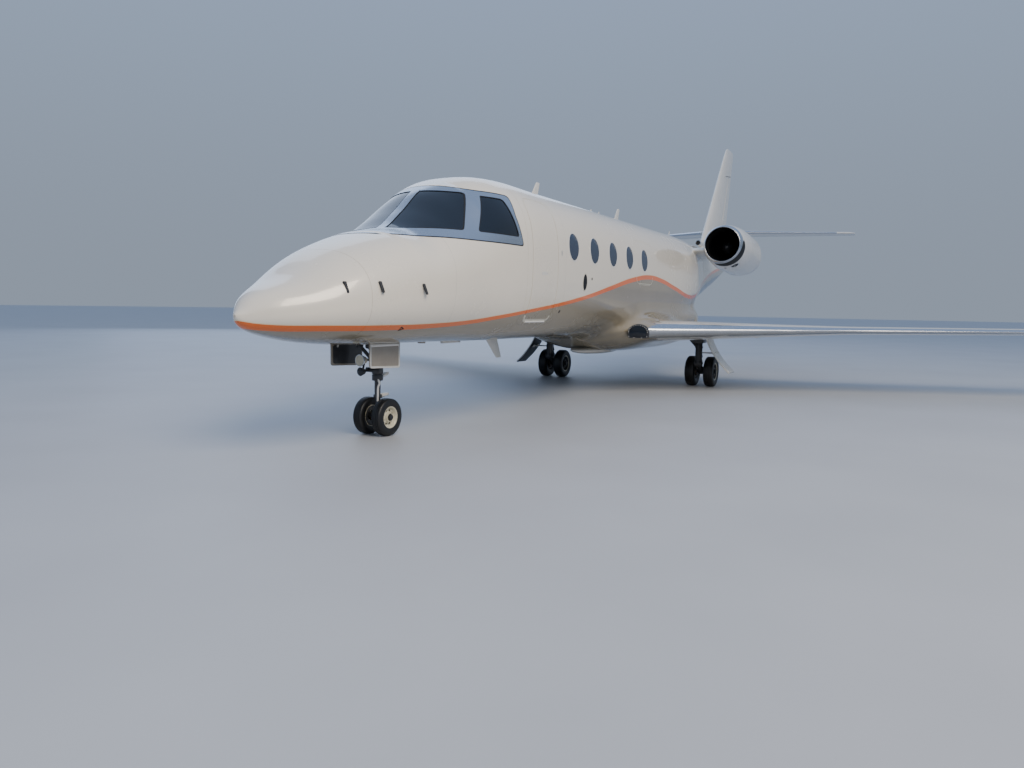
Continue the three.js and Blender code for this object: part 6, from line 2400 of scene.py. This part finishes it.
def light_sky(scene):
    """A soft sky that turns from the horizon's tone to its own well above it"""
    stage = scene.jet_stage
    scene.world = bpy.data.worlds.new("soft_sky")
    scene.world.use_nodes = True
    tree = scene.world.node_tree
    way = add_node(tree, "ShaderNodeTexCoord").outputs["Generated"]
    up = add_node(tree, "ShaderNodeSeparateXYZ", {0: way}).outputs["Z"]
    height = add_node(tree, "ShaderNodeMapRange", {0: up, 1: 0.0, 2: 0.75}, interpolation_type="SMOOTHSTEP")
    sky = blended_tone(tree, height.outputs[0], tuple(stage.horizon_tone), tuple(stage.sky_tone))
    background = tree.nodes["Background"]
    tree.links.new(sky, background.inputs["Color"])
    background.inputs["Strength"].default_value = stage.sky_strength


def hang_lamps(scene):
    for name, place, aim, size, share, shade in LIGHTS:
        light = bpy.data.lights.new(name, "AREA")
        light.size = size
        light.energy = scene.jet_stage.key_power * share
        light.color = linear(shade)
        lamp = bpy.data.objects.new(name, light)
        lamp.location = place
        lamp.rotation_euler = (Vector(aim) - Vector(place)).to_track_quat("-Z", "Y").to_euler()
        scene.collection.objects.link(lamp)


def stand_camera(scene):
    lens = bpy.data.cameras.new("camera")
    lens.lens = CAMERA_LENS
    lens.sensor_width = 36
    lens.clip_end = 1000
    camera = bpy.data.objects.new("camera", lens)
    right, up = Vector(CAMERA_RIGHT), Vector(CAMERA_UP)
    turn = Matrix((right, up, right.cross(up))).transposed().to_4x4()
    camera.matrix_world = Matrix.Translation(CAMERA_AT) @ turn
    scene.collection.objects.link(camera)
    scene.camera = camera


# Area lights: name, place, aim, size, share of the key light's power and colour
LIGHTS = (
    ("key_light", (14, 16, 17), (0, 0, 1.5), 14, 1.0, "#fff1de"),
    ("edge_light", (-16, -18, 14), (-1, 0, 2), 26, 0.45, "#cfe0fb"),
)


class JET_OT_stage(bpy.types.Operator):
    """Lay a plain floor, light it softly and stand the camera where the photograph was taken"""

    bl_idname = "jet.stage"
    bl_label = "Stage"

    def execute(self, context):
        lay_floor(context.scene.jet_stage)
        light_sky(context.scene)
        hang_lamps(context.scene)
        stand_camera(context.scene)
        return {"FINISHED"}


STEPS = (
    JET_OT_finishes, JET_OT_fuselage, JET_OT_entry_door, JET_OT_windows, JET_OT_fairing, JET_OT_wings,
    JET_OT_tail, JET_OT_engines, JET_OT_nose_gear, JET_OT_main_gear, JET_OT_cabin, JET_OT_fittings,
    JET_OT_stage
)


class JET_PT_build(bpy.types.Panel):
    """The steps that dress the frame, in order"""

    bl_idname = "JET_PT_build"
    bl_label = "Business jet"
    bl_space_type = "VIEW_3D"
    bl_region_type = "UI"
    bl_category = "Jet"

    def draw(self, context):
        scene = context.scene
        for group in (scene.jet_paint, scene.jet_surfaces, scene.jet_stage):
            box = self.layout.box()
            for name in group.bl_rna.properties.keys():
                if name not in ("rna_type", "name"):
                    box.prop(group, name)
        for step in STEPS:
            self.layout.operator(step.bl_idname)


GROUPS = (("jet_paint", JetPaint), ("jet_surfaces", JetSurfaces), ("jet_stage", JetStage))


def register():
    for name, group in GROUPS:
        bpy.utils.register_class(group)
        setattr(bpy.types.Scene, name, PointerProperty(type=group))
    for step in (*STEPS, JET_PT_build):
        bpy.utils.register_class(step)


def unregister():
    for step in (JET_PT_build, *reversed(STEPS)):
        bpy.utils.unregister_class(step)
    for name, group in reversed(GROUPS):
        delattr(bpy.types.Scene, name)
        bpy.utils.unregister_class(group)


def main():
    register()
    for step in STEPS:
        getattr(bpy.ops.jet, step.bl_idname.split(".")[1])()


if __name__ == "__main__":
    main()
